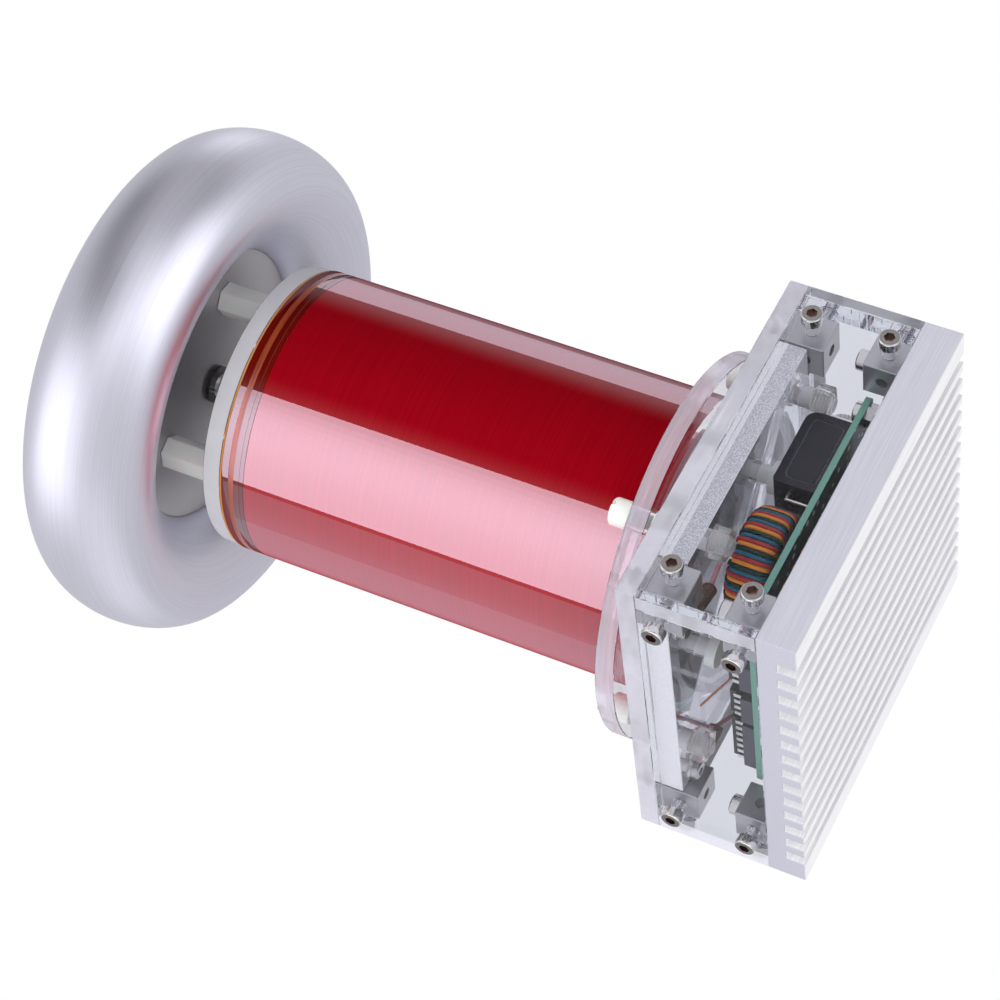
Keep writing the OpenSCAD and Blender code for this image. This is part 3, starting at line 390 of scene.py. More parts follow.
def satin(name, low, high, rough, clear, stretch):
    mat = finish(name, high, rough, Transmission_Weight=clear, IOR=1.25,
        through=(0.94, 0.94, 0.95))
    vary_color(mat, effect(mat, grain, Stretch=stretch)["Mask"], low, high)
    return mat

satin_edge = satin("satin_edge", (0.77, 0.765, 0.86), (0.81, 0.805, 0.9), 0.32, 0.6,
    (300, 300, 300))
# Painted reflection: the ring's outer edge is tinted pink for the red winding, over a satin edge
# with fine lines round it.
ring_edge_painted_reflection = satin("ring_edge_painted_reflection", (0.85, 0.8, 0.92), (0.93, 0.885, 0.99), 0.2, 0.62,
    (40, 40, 2400))

def sawn(name, low, high, bump):
    mat = finish(name, high, 0.5, through=(0.9, 0.9, 0.91))
    cut = effect(mat, grain, Stretch=(3200, 3200, 3200), Detail=5)
    vary_color(mat, cut["Mask"], low, high)
    vary_rough(mat, cut["Mask"], 0.3, 0.6)
    emboss(mat, cut["Height"], bump, 0.00008)
    return mat

sawn_white = sawn("sawn_white", (0.86, 0.855, 0.89), (0.99, 0.99, 1.0), 0.2)
# Painted shade: a grey copy of the sawn edge, for the inner plate's X edges below a line.
sawn_painted_shade = sawn("sawn_painted_shade", (0.45, 0.44, 0.49), (0.85, 0.84, 0.88), 0.5)
cap_edge = marked("cap_edge", (0.8, 0.8, 0.85), 0.2, 0.0, 110.0,
    ((0.44, 0.43, 0.46), (0.68, 0.69, 0.73)), ("Value", 0.15, 0.35), through=(0.9, 0.9, 0.91))

# %% [markdown]
# The winding is thousands of turns of enamelled copper under clear varnish. Single turns would be
# far too many faces, so it is a deep red with faint rings, and all its gloss is in the coat, which
# mirrors the lamps as sharp bands. The coat thins where the surface turns away, or a white rim
# would run down both sides. Past the last turn the varnish is brown, and amber at its edge.

# %% Coil finishes
def varnished(name, low, high, across=2600.0):
    """A coloured ground with fine rings under a thick glossy coat."""
    mat = finish(name, high, 0.42, Coat_Weight=1.0, Coat_Roughness=0.02, Coat_IOR=1.7,
        Specular_IOR_Level=0.0)
    rings = effect(mat, lines, Across=across, Around=0.6)
    vary_color(mat, rings["Mask"], low, high)
    emboss(mat, rings["Height"], 0.015, 0.00004)
    facing = add(mat.node_tree, "LayerWeight").outputs["Facing"]
    feed(mat, "Coat Weight", ramp(mat.node_tree, facing, 0.45, 0.9, 1.0, 0.08))
    return mat

red_winding = varnished("red_winding", (0.42, 0.001, 0.01), (0.48, 0.002, 0.012))
brown_varnish = varnished("brown_varnish", (0.16, 0.004, 0.002), (0.24, 0.008, 0.003), 900.0)
amber_rim = varnished("amber_rim", (0.7, 0.22, 0.01), (0.85, 0.36, 0.05), 900.0)

rust_line = finish("rust_line", (0.42, 0.09, 0.01), 0.3)
vary_color(rust_line, effect(rust_line, lines, Across=1200, Around=3)["Mask"],
    (0.3, 0.035, 0.003), (0.45, 0.07, 0.008))
tube_wall = marked("tube_wall", (0.9, 0.62, 0.3), 0.15, 0.0, 70.0,
    ((0.85, 0.5, 0.2), (0.95, 0.72, 0.42)), Transmission_Weight=0.7, IOR=1.49,
    through=(0.9, 0.7, 0.5))
# Painted shade: the tube's inner wall is a dark grey copy of its amber wall, for the dark inside of
# the coil.
tube_inside_painted_shade = marked("tube_inside_painted_shade", (0.34, 0.3, 0.3), 0.5, 0.0, 40.0,
    ((0.28, 0.25, 0.25), (0.4, 0.36, 0.36)), ("Spots", 0.3, 0.5))

# %% [markdown]
# The screws are bright stainless steel; their flat tops and sockets are painted darker: a painted
# dark reflection of the dim side of the room on the tops, and painted shade in the sockets. The
# fixings under coil and toroid are nylon. White paint would look hard, while nylon lets a little
# light in, and is nearly clear between the plates.

# %% Screws and nylon
bright_steel = marked("bright_steel", (0.78, 0.76, 0.75), 0.08, 1.0, 300.0,
    ((0.66, 0.64, 0.63), (0.88, 0.87, 0.86)), ("Spots", 0.05, 0.2))
# Painted shade in the sockets, and a painted dark reflection on the flat tops of the heads.
socket_shade = marked("socket_shade", (0.3, 0.2, 0.17), 0.25, 1.0, 900.0,
    ((0.2, 0.12, 0.1), (0.45, 0.36, 0.33)))
screw_top_painted_dark = marked("screw_top_painted_dark", (0.3, 0.28, 0.28), 0.16, 1.0, 600.0,
    ((0.2, 0.18, 0.18), (0.42, 0.4, 0.4)))
white_nylon = marked("white_nylon", (0.86, 0.86, 0.83), 0.4, 0.0, 220.0,
    ((0.8, 0.81, 0.78), (0.92, 0.92, 0.9)), None, ("Value", 0.2, 0.0001),
    Subsurface_Weight=0.35, Subsurface_Scale=0.002)
clear_nylon = marked("clear_nylon", (0.9, 0.89, 0.89), 0.15, 0.0, 260.0,
    ((0.82, 0.81, 0.81), (0.96, 0.96, 0.95)), Transmission_Weight=0.85, IOR=1.18,
    through=(0.92, 0.92, 0.92))

# %% [markdown]
# The board is green solder mask over copper. Its tracks could be drawn one by one, but nothing
# shows their real run, so a cell pattern gives a faint relief, and bright dots below stand for the
# soldered ends. Between the dots the underside is painted near black, as painted shade in the gap
# over the heat sink. The parts on it are plain colours, each with its own marks.

# %% Board and component finishes
def plain(name, color, rough, metal=0.0, spread=0.18, scale=180, bump=0.1, **sockets):
    """A colour that strays by the spread each way, as do its gloss and a faint relief."""
    low = tuple(c * (1 - spread) for c in color)
    high = tuple(min(1, c * (1 + spread)) for c in color)
    return marked(name, color, rough, metal, scale, (low, high),
        ("Value", rough * 0.6, rough * 1.5), ("Spots", bump, 0.00006), **sockets)

def celled(name, color, scale, start, stop, low, high, strength, distance, **settings):
    """A finish with a cell pattern, cut to a mask between two distances."""
    mat = finish(name, color, 0.35)
    spot = add(mat.node_tree, "TexCoord").outputs["Object"]
    cells = add(mat.node_tree, "TexVoronoi", {"Vector": spot, "Scale": scale}, **settings)
    mask = ramp(mat.node_tree, cells.outputs["Distance"], start, stop)
    vary_color(mat, mask, low, high)
    emboss(mat, mask, strength, distance)
    return mat

solder_mask = celled("solder_mask", (0.01, 0.14, 0.085), 260.0, 0.05, 0.09,
    (0.004, 0.07, 0.045), (0.01, 0.14, 0.085), 0.3, 0.00005, feature="DISTANCE_TO_EDGE")
# Painted shade: the underside is near black between bright dots that stand for the soldered ends.
board_underside_shade_and_solder = celled("board_underside_shade_and_solder", (0.005, 0.03, 0.02), 330.0, 0.3, 0.2,
    (0.004, 0.022, 0.016), (0.6, 0.6, 0.6), 0.5, 0.0003)
board_edge = plain("board_edge", (0.19, 0.43, 0.34), 0.5, scale=2600, spread=0.4)
black_moulding = plain("black_moulding", (0.01, 0.0085, 0.018), 0.28, scale=2500, bump=0.0,
    Specular_IOR_Level=0.35)
# Painted light: a paler grey than the moulding, for the floor and walls of the sunk outline.
outline_painted_light = plain("outline_painted_light", (0.07, 0.07, 0.09), 0.3, scale=900)
chip_black = plain("chip_black", (0.02, 0.02, 0.026), 0.5, scale=900, bump=0.3)
socket_grey = plain("socket_grey", (0.06, 0.06, 0.085), 0.45, scale=900, bump=0.3)
tinned = plain("tinned", (0.82, 0.82, 0.82), 0.28, 1.0, scale=500)
nickel = plain("nickel", (0.55, 0.54, 0.55), 0.25, 1.0, scale=300)
dark_metal = plain("dark_metal", (0.05, 0.05, 0.05), 0.35, 0.6, scale=500)
ferrite = plain("ferrite", (0.03, 0.09, 0.07), 0.5, scale=500)
pad_white = plain("pad_white", (0.7, 0.7, 0.72), 0.6, scale=500)
sleeve_dark = plain("sleeve_dark", (0.2, 0.13, 0.1), 0.2, scale=500, spread=0.5,
    Transmission_Weight=0.5, IOR=1.2)
supply_red = plain("supply_red", (0.4, 0.02, 0.02), 0.35, scale=350)

def wire(name, color, rough=0.3, **sockets):
    return plain(name, color, rough, scale=350, spread=0.1, **sockets)

cream_wire = wire("cream_wire", (0.78, 0.7, 0.66), 0.35)
wire_mauve = wire("wire_mauve", (0.58, 0.25, 0.29))
wire_copper = wire("wire_copper", (0.5, 0.17, 0.08))
ribbon_colours = {}
for colour, value in (("orange", (0.75, 0.27, 0.02)), ("red", (0.42, 0.025, 0.04)),
        ("blue", (0.012, 0.12, 0.19)), ("green", (0.001, 0.022, 0.018))):
    ribbon_colours[colour] = wire(f"wire_{colour}", value, Specular_IOR_Level=0.35)

# %% [markdown]
# The pieces are worked as by hand, though raw points could be written as well: a primitive gives
# the start, then edges and faces are picked by where they are and extruded, resized, bevelled or
# bored. So each step can be repeated in the viewport.

# %% Working helpers: picking and settling
def fresh():
    if bpy.context.mode != "OBJECT":
        bpy.ops.object.mode_set(mode="OBJECT")
    bpy.ops.object.select_all(action="DESELECT")

def work_on(o):
    fresh()
    o.select_set(True)
    bpy.context.view_layer.objects.active = o

def edit(o, kind="FACE", action="DESELECT"):
    work_on(o)
    bpy.ops.object.mode_set(mode="EDIT")
    bpy.ops.mesh.select_mode(type=kind)
    bpy.ops.mesh.select_all(action=action)

def pick(o, test, kind="FACE"):
    """Selects what passes the test: faces by (centre, normal), edges by (end, end)."""
    bpy.ops.mesh.select_mode(type=kind)
    bpy.ops.mesh.select_all(action="DESELECT")
    b = bmesh.from_edit_mesh(o.data)
    if kind == "FACE":
        for f in b.faces:
            f.select_set(test(f.calc_center_median(), f.normal))
    else:
        for e in b.edges:
            e.select_set(test(e.verts[0].co, e.verts[1].co))
    b.select_flush_mode()
    bmesh.update_edit_mesh(o.data)

def put(o):
    """Puts the object's place, turn and size into its mesh."""
    work_on(o)
    bpy.ops.object.transform_apply(location=True, rotation=True, scale=True)
    return o

def settle(o):
    put(o)
    bpy.ops.object.mode_set(mode="EDIT")
    bpy.ops.mesh.select_all(action="SELECT")
    bpy.ops.mesh.remove_doubles(threshold=1e-6)
    bpy.ops.mesh.normals_make_consistent(inside=False)
    fresh()
    return o

def smooth(o, angle=30):
    work_on(o)
    bpy.ops.object.shade_smooth_by_angle(angle=radians(angle))
    return o

# %% Working helpers: naming and copying
def edge_finish(o, test, mat):
    """Gives the faces that pass the test, by (centre, normal), a further finish."""
    o.data.materials.append(mat)
    last = len(o.data.materials) - 1
    for face in o.data.polygons:
        if test(face.center, face.normal):
            face.material_index = last

def named(o, name, mat, node=None):
    o.name = o.data.name = name
    if len(o.data.materials) == 0:
        o.data.materials.append(mat)
    o.data.materials[0] = mat
    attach(o, "root")
    if node:
        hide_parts(node)
    print(f"{name}:", len(o.data.polygons), "faces")
    return o

def copy_of(o, matrix):
    c = o.copy()
    c.data = o.data.copy()
    bpy.context.collection.objects.link(c)
    work_on(c)
    c.matrix_world = matrix
    return put(c)

def joined(parts):
    fresh()
    for p in parts:
        p.select_set(True)
    bpy.context.view_layer.objects.active = parts[0]
    if len(parts) > 1:
        bpy.ops.object.join()
    return parts[0]

def drop(o):
    bpy.data.objects.remove(o, do_unlink=True)

def copied(o, matrices, *others):
    """Copies a piece to each place, joins the copies and removes the pattern."""
    whole = joined([*others, *[copy_of(o, m) for m in matrices]])
    drop(o)
    return whole

def moved(x, y, z=0):
    return Matrix.Translation((x * MM, y * MM, z * MM))

def spun(degrees, axis="Z"):
    return Matrix.Rotation(radians(degrees), 4, axis)

def turn_about(o, axis, degrees):
    o.matrix_world = spun(degrees, axis) @ o.matrix_world
    return put(o)

# %% Working helpers: bodies and bores
def modify(o, kind, **values):
    work_on(o)
    m = o.modifiers.new(kind.lower(), kind)
    for key, value in values.items():
        setattr(m, key, value)
    bpy.ops.object.modifier_apply(modifier=m.name)

def bevelled(o, width, segments=1, angle=50):
    modify(o, "BEVEL", width=width * MM, segments=segments, limit_method="ANGLE",
        angle_limit=radians(angle), harden_normals=False)

def block(lo, hi):
    """A box between two corners in mm."""
    lo, hi = Vector(lo) * MM, Vector(hi) * MM
    bpy.ops.mesh.primitive_cube_add(size=1, location=(lo + hi) / 2)
    o = bpy.context.object
    o.scale = hi - lo
    return settle(o)

def draw_out(by):
    bpy.ops.mesh.extrude_edges_move(TRANSFORM_OT_translate={"value": by})

def turned(rings, sides=96, centre=(0, 0), closed=False):
    """A turned form: a circle drawn out ring by ring, each ring (radius, height) in mm.
    A closed form goes back to its first ring; an open one gets a flat face at each end."""
    rings = rings + rings[:1] if closed else rings
    bpy.ops.mesh.primitive_circle_add(vertices=sides, radius=rings[0][0] * MM,
        location=(0, 0, rings[0][1] * MM), fill_type="NOTHING")
    o = put(bpy.context.object)
    edit(o, "EDGE", "SELECT")
    if not closed:
        bpy.ops.mesh.edge_face_add()
        bpy.ops.mesh.select_mode(type="EDGE")
    for (r0, z0), (r1, z1) in zip(rings, rings[1:]):
        draw_out((0, 0, (z1 - z0) * MM))
        bpy.ops.transform.resize(value=(r1 / r0, r1 / r0, 1), center_override=(0, 0, z1 * MM))
    if closed:
        bpy.ops.mesh.select_all(action="SELECT")
        bpy.ops.mesh.remove_doubles(threshold=1e-6)
    else:
        bpy.ops.mesh.edge_face_add()
    fresh()
    o.location = (centre[0] * MM, centre[1] * MM, 0)
    return settle(o)

def pin(x, y, z0, z1, r, sides=32):
    """A plain round tool along Z, used to bore."""
    bpy.ops.mesh.primitive_cylinder_add(vertices=sides, radius=r * MM, depth=(z1 - z0) * MM,
        location=(x * MM, y * MM, (z0 + z1) / 2 * MM))
    return put(bpy.context.object)

def bored(o, tools):
    """Cuts the tools out of the piece and removes them."""
    tool = joined(tools)
    modify(o, "BOOLEAN", operation="DIFFERENCE", solver="EXACT", object=tool)
    drop(tool)
    return o

def at_angle(r, degrees):
    return r * cos(radians(degrees)), r * sin(radians(degrees))

# %% [markdown]
# The heat sink is one aluminium extrusion sawn square. It could be a comb outline drawn out in one
# go; here its plate is cut across at every groove wall and the strips between are drawn down into
# fins, which keeps the real profile's numbers in view. A small bevel gives each edge its line.

# %% Heat sink
HALF, SINK_TOP = 50, 10  # half of the box's width, and where the heat sink's plate ends
GROOVES, GROOVE_STEP, GROOVE_HALF, FIN_HIGH = 14, 6.3, 1.6, 5
sink = block((-HALF, -HALF, FIN_HIGH), (HALF, HALF, SINK_TOP))
edit(sink)
stops = [-HALF]
for i in range(GROOVES):
    x = (i - (GROOVES - 1) / 2) * GROOVE_STEP
    stops += [x - GROOVE_HALF, x + GROOVE_HALF]
for x in stops[1:]:
    bpy.ops.mesh.select_all(action="SELECT")
    bpy.ops.mesh.bisect(plane_co=(x * MM, 0, 0), plane_no=(1, 0, 0))
stops.append(HALF)
fins = [(a + b) / 2 * MM for a, b in zip(stops[0::2], stops[1::2])]
pick(sink, lambda c, n: n.z < -0.9 and min(abs(c.x - f) for f in fins) < 1e-4)
bpy.ops.mesh.extrude_region_move(TRANSFORM_OT_translate={"value": (0, 0, -FIN_HIGH * MM)})
settle(sink)
bevelled(sink, 0.2, angle=30)
smooth(sink)
named(sink, "finned_heat_sink", extruded_aluminium, "heat_sink")
# The grooves take their painted light here, and the fin tips their painted highlight.
edge_finish(sink, lambda c, n: c.z < 0.0052 and abs(c.x) < 0.0499 and abs(n.y) < 0.5,
    groove_painted_light)
edge_finish(sink, lambda c, n: n.z < -0.5 and c.z < 0.001, fin_tips_painted_light)

# %% [markdown]
# Each clear plate is sawn, drilled and left with sharp but not razor edges. Plates that touch would
# melt into one body of glass, so a twentieth of a millimetre stays free between neighbours, and
# the edges of the plates draw themselves.

# %% Side plates
GAP = 0.05
LID_Z, LID_TOP, THICK = 40, 45, 5
SCREW_AT, ROWS = 40, (15, 35)  # the screws' distance from the middle, and their two heights
SCREW_BORE, POWER_BORE = 1.7, 5.5
corners = [(x, y) for x in (-SCREW_AT, SCREW_AT) for y in (-SCREW_AT, SCREW_AT)]

def side_pin(y, z, r, sides):
    """A round tool along X, through the right plate."""
    o = turn_about(pin(0, 0, 40, 55, r, sides), "Y", 90)
    o.location = (0, y * MM, z * MM)
    return put(o)

def plate(name, mat, node, lo, hi, tools, turn=0):
    """A drilled plate with its edges just broken, turned into place."""
    o = bored(block(lo, hi), tools)
    bevelled(o, 0.15)
    turn_about(smooth(o), "Z", turn)
    return named(o, name, mat, node)

SHORT = HALF - THICK - GAP
for side, width, turn, extra in (("right", HALF, 0, []),
        ("left", HALF, 180, [(0, 26, POWER_BORE, 48)]),
        ("front", SHORT, -90, []), ("back", SHORT, 90, [])):
    holes = [(y, z, SCREW_BORE, 24) for y in (-SCREW_AT, SCREW_AT) for z in ROWS] + extra
    o = plate(f"clear_plate_{side}", clear_acrylic, f"side_plate_{side}",
        (HALF - THICK + GAP, -width, SINK_TOP + GAP), (HALF, width, LID_Z - GAP),
        [side_pin(*hole) for hole in holes], turn)
    # only the sawn ends of the long plates show, beside the short ones
    edge_finish(o, lambda c, n: abs(n.y) > 0.9 and abs(c.y) > 0.0495 and abs(c.x) > 0.0455,
        satin_edge)

# %% Lid and inner plate
NYLON_BORE, WIRE_BORE, ROD_BORE = 2.7, 1.05, 1.55
TURN_R, WAY_IN, OUT_R, WAY_OUT = 39.32, 232.5, 41.02, 307.5  # where the heavy wire comes and goes
flange_spots = [at_angle(43.5, a) for a in (-30, 60, 150, 240)]
stud_spots = [at_angle(24.32, a) for a in (31, -89, 151)]

def plate_pins(z0):
    wires = (at_angle(TURN_R, WAY_IN), at_angle(OUT_R, WAY_OUT))
    return ([pin(*at, z0, 47, NYLON_BORE) for at in flange_spots + stud_spots] +
        [pin(*at, z0, 47, WIRE_BORE, 20) for at in wires])

sunk = [(SCREW_BORE, 38), (SCREW_BORE, 43.4), (3.05, 45.1), (3.05, 47)]
lid = plate("clear_lid", clear_acrylic, "top_plate", (-HALF, -HALF, LID_Z),
    (HALF, HALF, LID_TOP), plate_pins(38) + [turned(sunk, 32, at) for at in corners])
edge_finish(lid, lambda c, n: abs(n.z) < 0.3 and max(abs(c.x), abs(c.y)) > 0.0495, satin_edge)

INNER, INNER_Z, NOTCH, PAINTED_SHADE_TOP = 44.75, 34, 34.5, 38.7
tools = plate_pins(30) + [pin(x, -39.8, 30, 47, ROD_BORE, 24) for x in (-30.5, 30.5)]
for x, y in corners:
    xs, ys = (sorted(copysign(v, s) for v in (NOTCH, HALF)) for s in (x, y))
    tools.append(block((xs[0], ys[0], 30), (xs[1], ys[1], 47)))
inner = plate("inner_plate_frosted_edge", inner_acrylic, "inner_plate",
    (-INNER, -INNER, INNER_Z), (INNER, INNER, LID_Z - GAP), tools)
edit(inner, action="SELECT")
bpy.ops.mesh.bisect(plane_co=(0, 0, PAINTED_SHADE_TOP * MM), plane_no=(0, 0, 1))
fresh()
edge_finish(inner, lambda c, n: abs(n.z) < 0.8 and max(abs(c.x), abs(c.y)) > 0.034, sawn_white)
# Below the line the X edges take the painted shade; the strip above stays pale.
edge_finish(inner, lambda c, n: abs(n.x) > 0.9 and abs(c.x) > 0.034 and c.z < PAINTED_SHADE_TOP * MM,
    sawn_painted_shade)

# %% [markdown]
# Corner blocks are 10 mm cubes cut from bar, with three screw bores that cross inside. Eight could
# be modelled where they stand; one is made and copied, each copy turned to show other marks.

# %% Corner blocks
side = 5 - GAP
cube = block((-side, -side, -side), (side, side, side))
bevelled(cube, 0.2)
for axis, degrees in (("Z", 0), ("X", 90), ("Y", 90)):
    bored(cube, [turn_about(pin(0, 0, -8, 8, ROD_BORE, 28), axis, degrees)])
smooth(cube)
for row, z in zip(("lower", "upper"), ROWS):
    made = [copy_of(cube, moved(x, y, z) @ spun(90 * i)) for i, (x, y) in enumerate(corners)]
    named(joined(made), f"milled_blocks_{row}", milled_aluminium,
        f"corner_blocks_{row}")
drop(cube)

# %% [markdown]
# A socket head screw is turned from bar: a head with a rounded rim, a hexagon broached into it, and
# a rolled thread. A helix could be swept, but at this size it can't be told from close rings, and
# rings stay closed.

# %% Socket head screws
def rounded_rim(r, high, round_, steps=4):
    return [(r - round_ + round_ * cos(a), high - round_ + round_ * sin(a))
        for a in (radians(90 * i / steps) for i in range(1, steps + 1))]

def hexagon(flats, z0, z1):
    return pin(0, 0, z0, z1, flats / sqrt(3), 6)

def socket_screw(length, d=3.0, head=5.5, high=3.0, flats=2.5, pitch=0.5):
    rings = [(0.7, -length), (d / 2 - 0.25, -length + 0.1)]
    z = -length + 0.35
    while z < -0.6:
        rings += [(d / 2 - 0.22, z), (d / 2, z + pitch / 2)]
        z += pitch
    r = head / 2
    rings += [(d / 2 - 0.1, -0.05), (r - 0.25, 0), (r, 0.22), (r, high - 0.5)]
    o = turned(rings + rounded_rim(r, high, 0.5) + [(flats * 0.66, high)], 32)
    return smooth(bored(o, [hexagon(flats, high / 2, high * 1.5)]), 40)

screw = socket_screw(8)
screw.data.materials.append(bright_steel)
# The sockets get their painted shade, and the flat tops their painted dark reflection.
edge_finish(screw, lambda c, n: 0.0001 < c.z < 0.0029 and hypot(c.x, c.y) < 0.0014,
    socket_shade)
edge_finish(screw, lambda c, n: c.z > 0.00295, screw_top_painted_dark)

def side_screws(turn):
    return [copy_of(screw, spun(turn) @ moved(HALF, y, z) @ spun(90, "Y") @
        spun(17 * (y / 40) + 31 * (z / 20) + turn)) for y in (-SCREW_AT, SCREW_AT) for z in ROWS]

for sides, turn in (("right_left", 0), ("front_back", 90)):
    both = joined(side_screws(turn) + side_screws(turn + 180))
    named(both, f"side_screws_on_{sides.replace('_', '_and_')}", bright_steel,
        f"side_screws_{sides}")
drop(screw)

# %% [markdown]
# The coil's parts are all turned: the ring round its foot and two caps of clear plate, a thin
# amber tube, and the winding as a close sleeve with a shoulder where the varnish runs out. A spin
# would serve as well; drawing the circle out ring by ring shows every step, and close pairs of
# rings keep the shading crisp.

# %% Ring and caps
def ring_of(r_in, r_out, z0, z1, sides=128, e=0.2):
    """A flat ring with its edges broken by e."""
    return turned([(r_in + e, z0), (r_out - e, z0), (r_out, z0 + e), (r_out, z1 - e),
        (r_out - e, z1), (r_in + e, z1), (r_in, z1 - e), (r_in, z0 + e)],
        sides, closed=True)

def disc(r, z0, z1, sides=128, e=0.2):
    return turned([(r - e, z0), (r, z0 + e), (r, z1 - e), (r - e, z1)], sides)

def outside(r):
    """A test for the upright faces beyond a radius in metres."""
    return lambda c, n: abs(n.z) < 0.3 and hypot(c.x, c.y) > r

RING_Z, RING_TOP = 48.7, 53.7
FOOT_Z, FOOT_TOP, CROWN_Z, CROWN_TOP, CAP_R = 45, 50, 165, 170, 37.6
flange = ring_of(40.2, HALF, RING_Z, RING_TOP)
slot = block((39.2, -1.05, 47), (42.1, 1.05, 56))
smooth(bored(flange, [pin(*at, 47, 56, NYLON_BORE) for at in flange_spots] +
    [turn_about(slot, "Z", WAY_OUT)]))
named(flange, "clear_flange_ring", clear_acrylic, "flange_ring")
# The outer edge gets its painted pink reflection.
edge_finish(flange, outside(0.049), ring_edge_painted_reflection)
for name, z0, z1, mat, node in (
        ("clear_foot_cap", FOOT_Z + GAP, FOOT_TOP - GAP, inner_acrylic, "bottom_cap"),
        ("clear_crown_cap", CROWN_Z + GAP, CROWN_TOP, clear_acrylic, "top_cap")):
    cap = disc(CAP_R, z0, z1)
    through = (int(z0) - 1, round(z1) + 1)
    smooth(bored(cap, [pin(*at, *through, NYLON_BORE) for at in stud_spots]))
    named(cap, name, mat, node)
    edge_finish(cap, outside(0.037), cap_edge)

# %% Tube, winding and varnish
tube = smooth(ring_of(36, CAP_R, FOOT_TOP, CROWN_Z, e=0.1))
named(tube, "bare_tube", tube_wall, "secondary_tube")
# The inner wall gets the painted shade.
edge_finish(tube, lambda c, n: hypot(c.x, c.y) < 0.0361, tube_inside_painted_shade)
for name, mat, angle, slot, node, rings in (
        ("wound_sleeve", red_winding, 12, "red_enamel", "secondary_winding",
            [(37.62, 52), (37.9, 52.05), (38, 52.15), (38, 157.9), (37.96, 157.98),
            (37.62, 158)]),
        ("varnish_band", brown_varnish, 12, "amber_tube", None,
            [(37.63, 158.02), (37.96, 158.04), (37.96, 159.2), (37.9, 159.3), (37.96, 159.4),
            (37.96, 160.9), (38, 160.95), (38, 162.35), (37.96, 162.4), (37.96, 164.3),
            (37.63, 164.32)]),
        ("varnish_run_out", amber_rim, 60, "amber_tube", None,
            [(37.63, 164.36), (37.94, 164.38), (37.92, 164.9), (37.63, 165)]),
        ("varnish_foot_band", brown_varnish, 60, "amber_tube", None,
            [(37.63, 50.1), (37.85, 50.2), (37.95, 51.9), (37.63, 51.95)])):
    coating = smooth(turned(rings, 160, closed=True), angle)
    named(coating, name, mat, node)
    if name == "varnish_band":
        edge_finish(coating, lambda c, n: 0.1609 < c.z < 0.1624, rust_line)

# %% [markdown]
# The toroid is two halves spun from sheet and joined back to back at their floors. A torus
# primitive is round all the way, while this section is a wide outer arc and a tighter slope down
# to the floor. So each half is a closed thin-walled turned form, thick as the sheet.

# %% Toroid
CREST, WEB, SEAM, RIM, HIGH, SHEET = 56.0, 36.8, 192.3, 67.5, 35.6, 1.2
JOINT, FLOOR_THICK, SLOPE_POWER = 190.5, 1.5, 2 / 1.45

def half_rings(s, web_out, steps=22):
    """The section of a half; s is -1 for the lower and 1 for the upper one."""
    quarter = [radians(90 * i / steps) for i in range(steps + 1)]
    def outer(t):
        return [(CREST + (RIM - CREST - t) * cos(q), SEAM + s * ((HIGH / 2 - t) * sin(q)))
            for q in quarter]
    def slope(web, t):
        a, b = CREST - WEB - t, abs(SEAM + s * HIGH / 2 - web) - t
        return [(CREST - a * sin(q) ** SLOPE_POWER, web + s * b * cos(q) ** SLOPE_POWER)
            for q in quarter[1:]]
    rings = outer(0) + slope(web_out, 0) + [(WEB, JOINT)]
    return rings + slope(JOINT, SHEET)[-2::-1] + outer(SHEET)[::-1]

for low, s in (("lower", -1), ("upper", 1)):
    half = smooth(turned(half_rings(s, JOINT + s * FLOOR_THICK), 160, closed=True), 40)
    named(half, f"spun_{low}_half", spun_aluminium, f"toroid_{low}")
bores = [(*at, NYLON_BORE) for at in stud_spots] + [(0, 0, 2.2)]
# The lower floor takes the painted shade.
for low, z, mat in (("lower", JOINT - FLOOR_THICK, spun_floor), ("upper", JOINT, spun_aluminium)):
    web_floor = disc(WEB - 0.01, z + 0.01, z + FLOOR_THICK - 0.01, e=0.15)
    smooth(bored(web_floor, [pin(x, y, z - 1, z + 3, r) for x, y, r in bores]))
    named(web_floor, f"spun_{low}_floor", mat, f"toroid_{low}_floor")

# %% [markdown]
# Nylon fixings are moulded: tall slotted heads, round spacers, hexagon nuts and standoffs. They
# could share the steel screws' form, but moulded edges are rounder. Threads show only where a
# screw end stands out of its nut.

# %% Nylon fixings
def nylon_screw(length, d, head, high, thread=9, pitch=0.8):
    r = head / 2
    rings = [(d / 2 - 0.7, -length), (d / 2 - 0.3, -length + 0.4)]
    z = -length + pitch
    while z < -length + thread:
        rings += [(d / 2 - 0.42, z), (d / 2, z + pitch / 2)]
        z += pitch
    rings += [(d / 2, -0.2), (r - 0.4, 0), (r, 0.4), (r, high - 0.9)]
    slit = ((-r - 1, -0.45, high - 1.1), (r + 1, 0.45, high + 1))
    return smooth(bored(turned(rings + rounded_rim(r, high, 0.9), 40), [block(*slit)]), 40)

def hexagon_bar(z0, z1, flats=8, bore=5.1):
    o = settle(hexagon(flats, z0, z1))
    bored(o, [pin(0, 0, z0 - 1, z1 + 1, bore / 2)])
    bevelled(o, 0.35, 2, 40)
    return smooth(o, 40)

def spread(o, spots, name, mat, node, turns=(0, 25, 70, 110), lift=0):
    places = [moved(x, y, lift) @ spun(turn) for (x, y), turn in zip(spots, turns)]
    named(copied(o, places), name, mat, node)

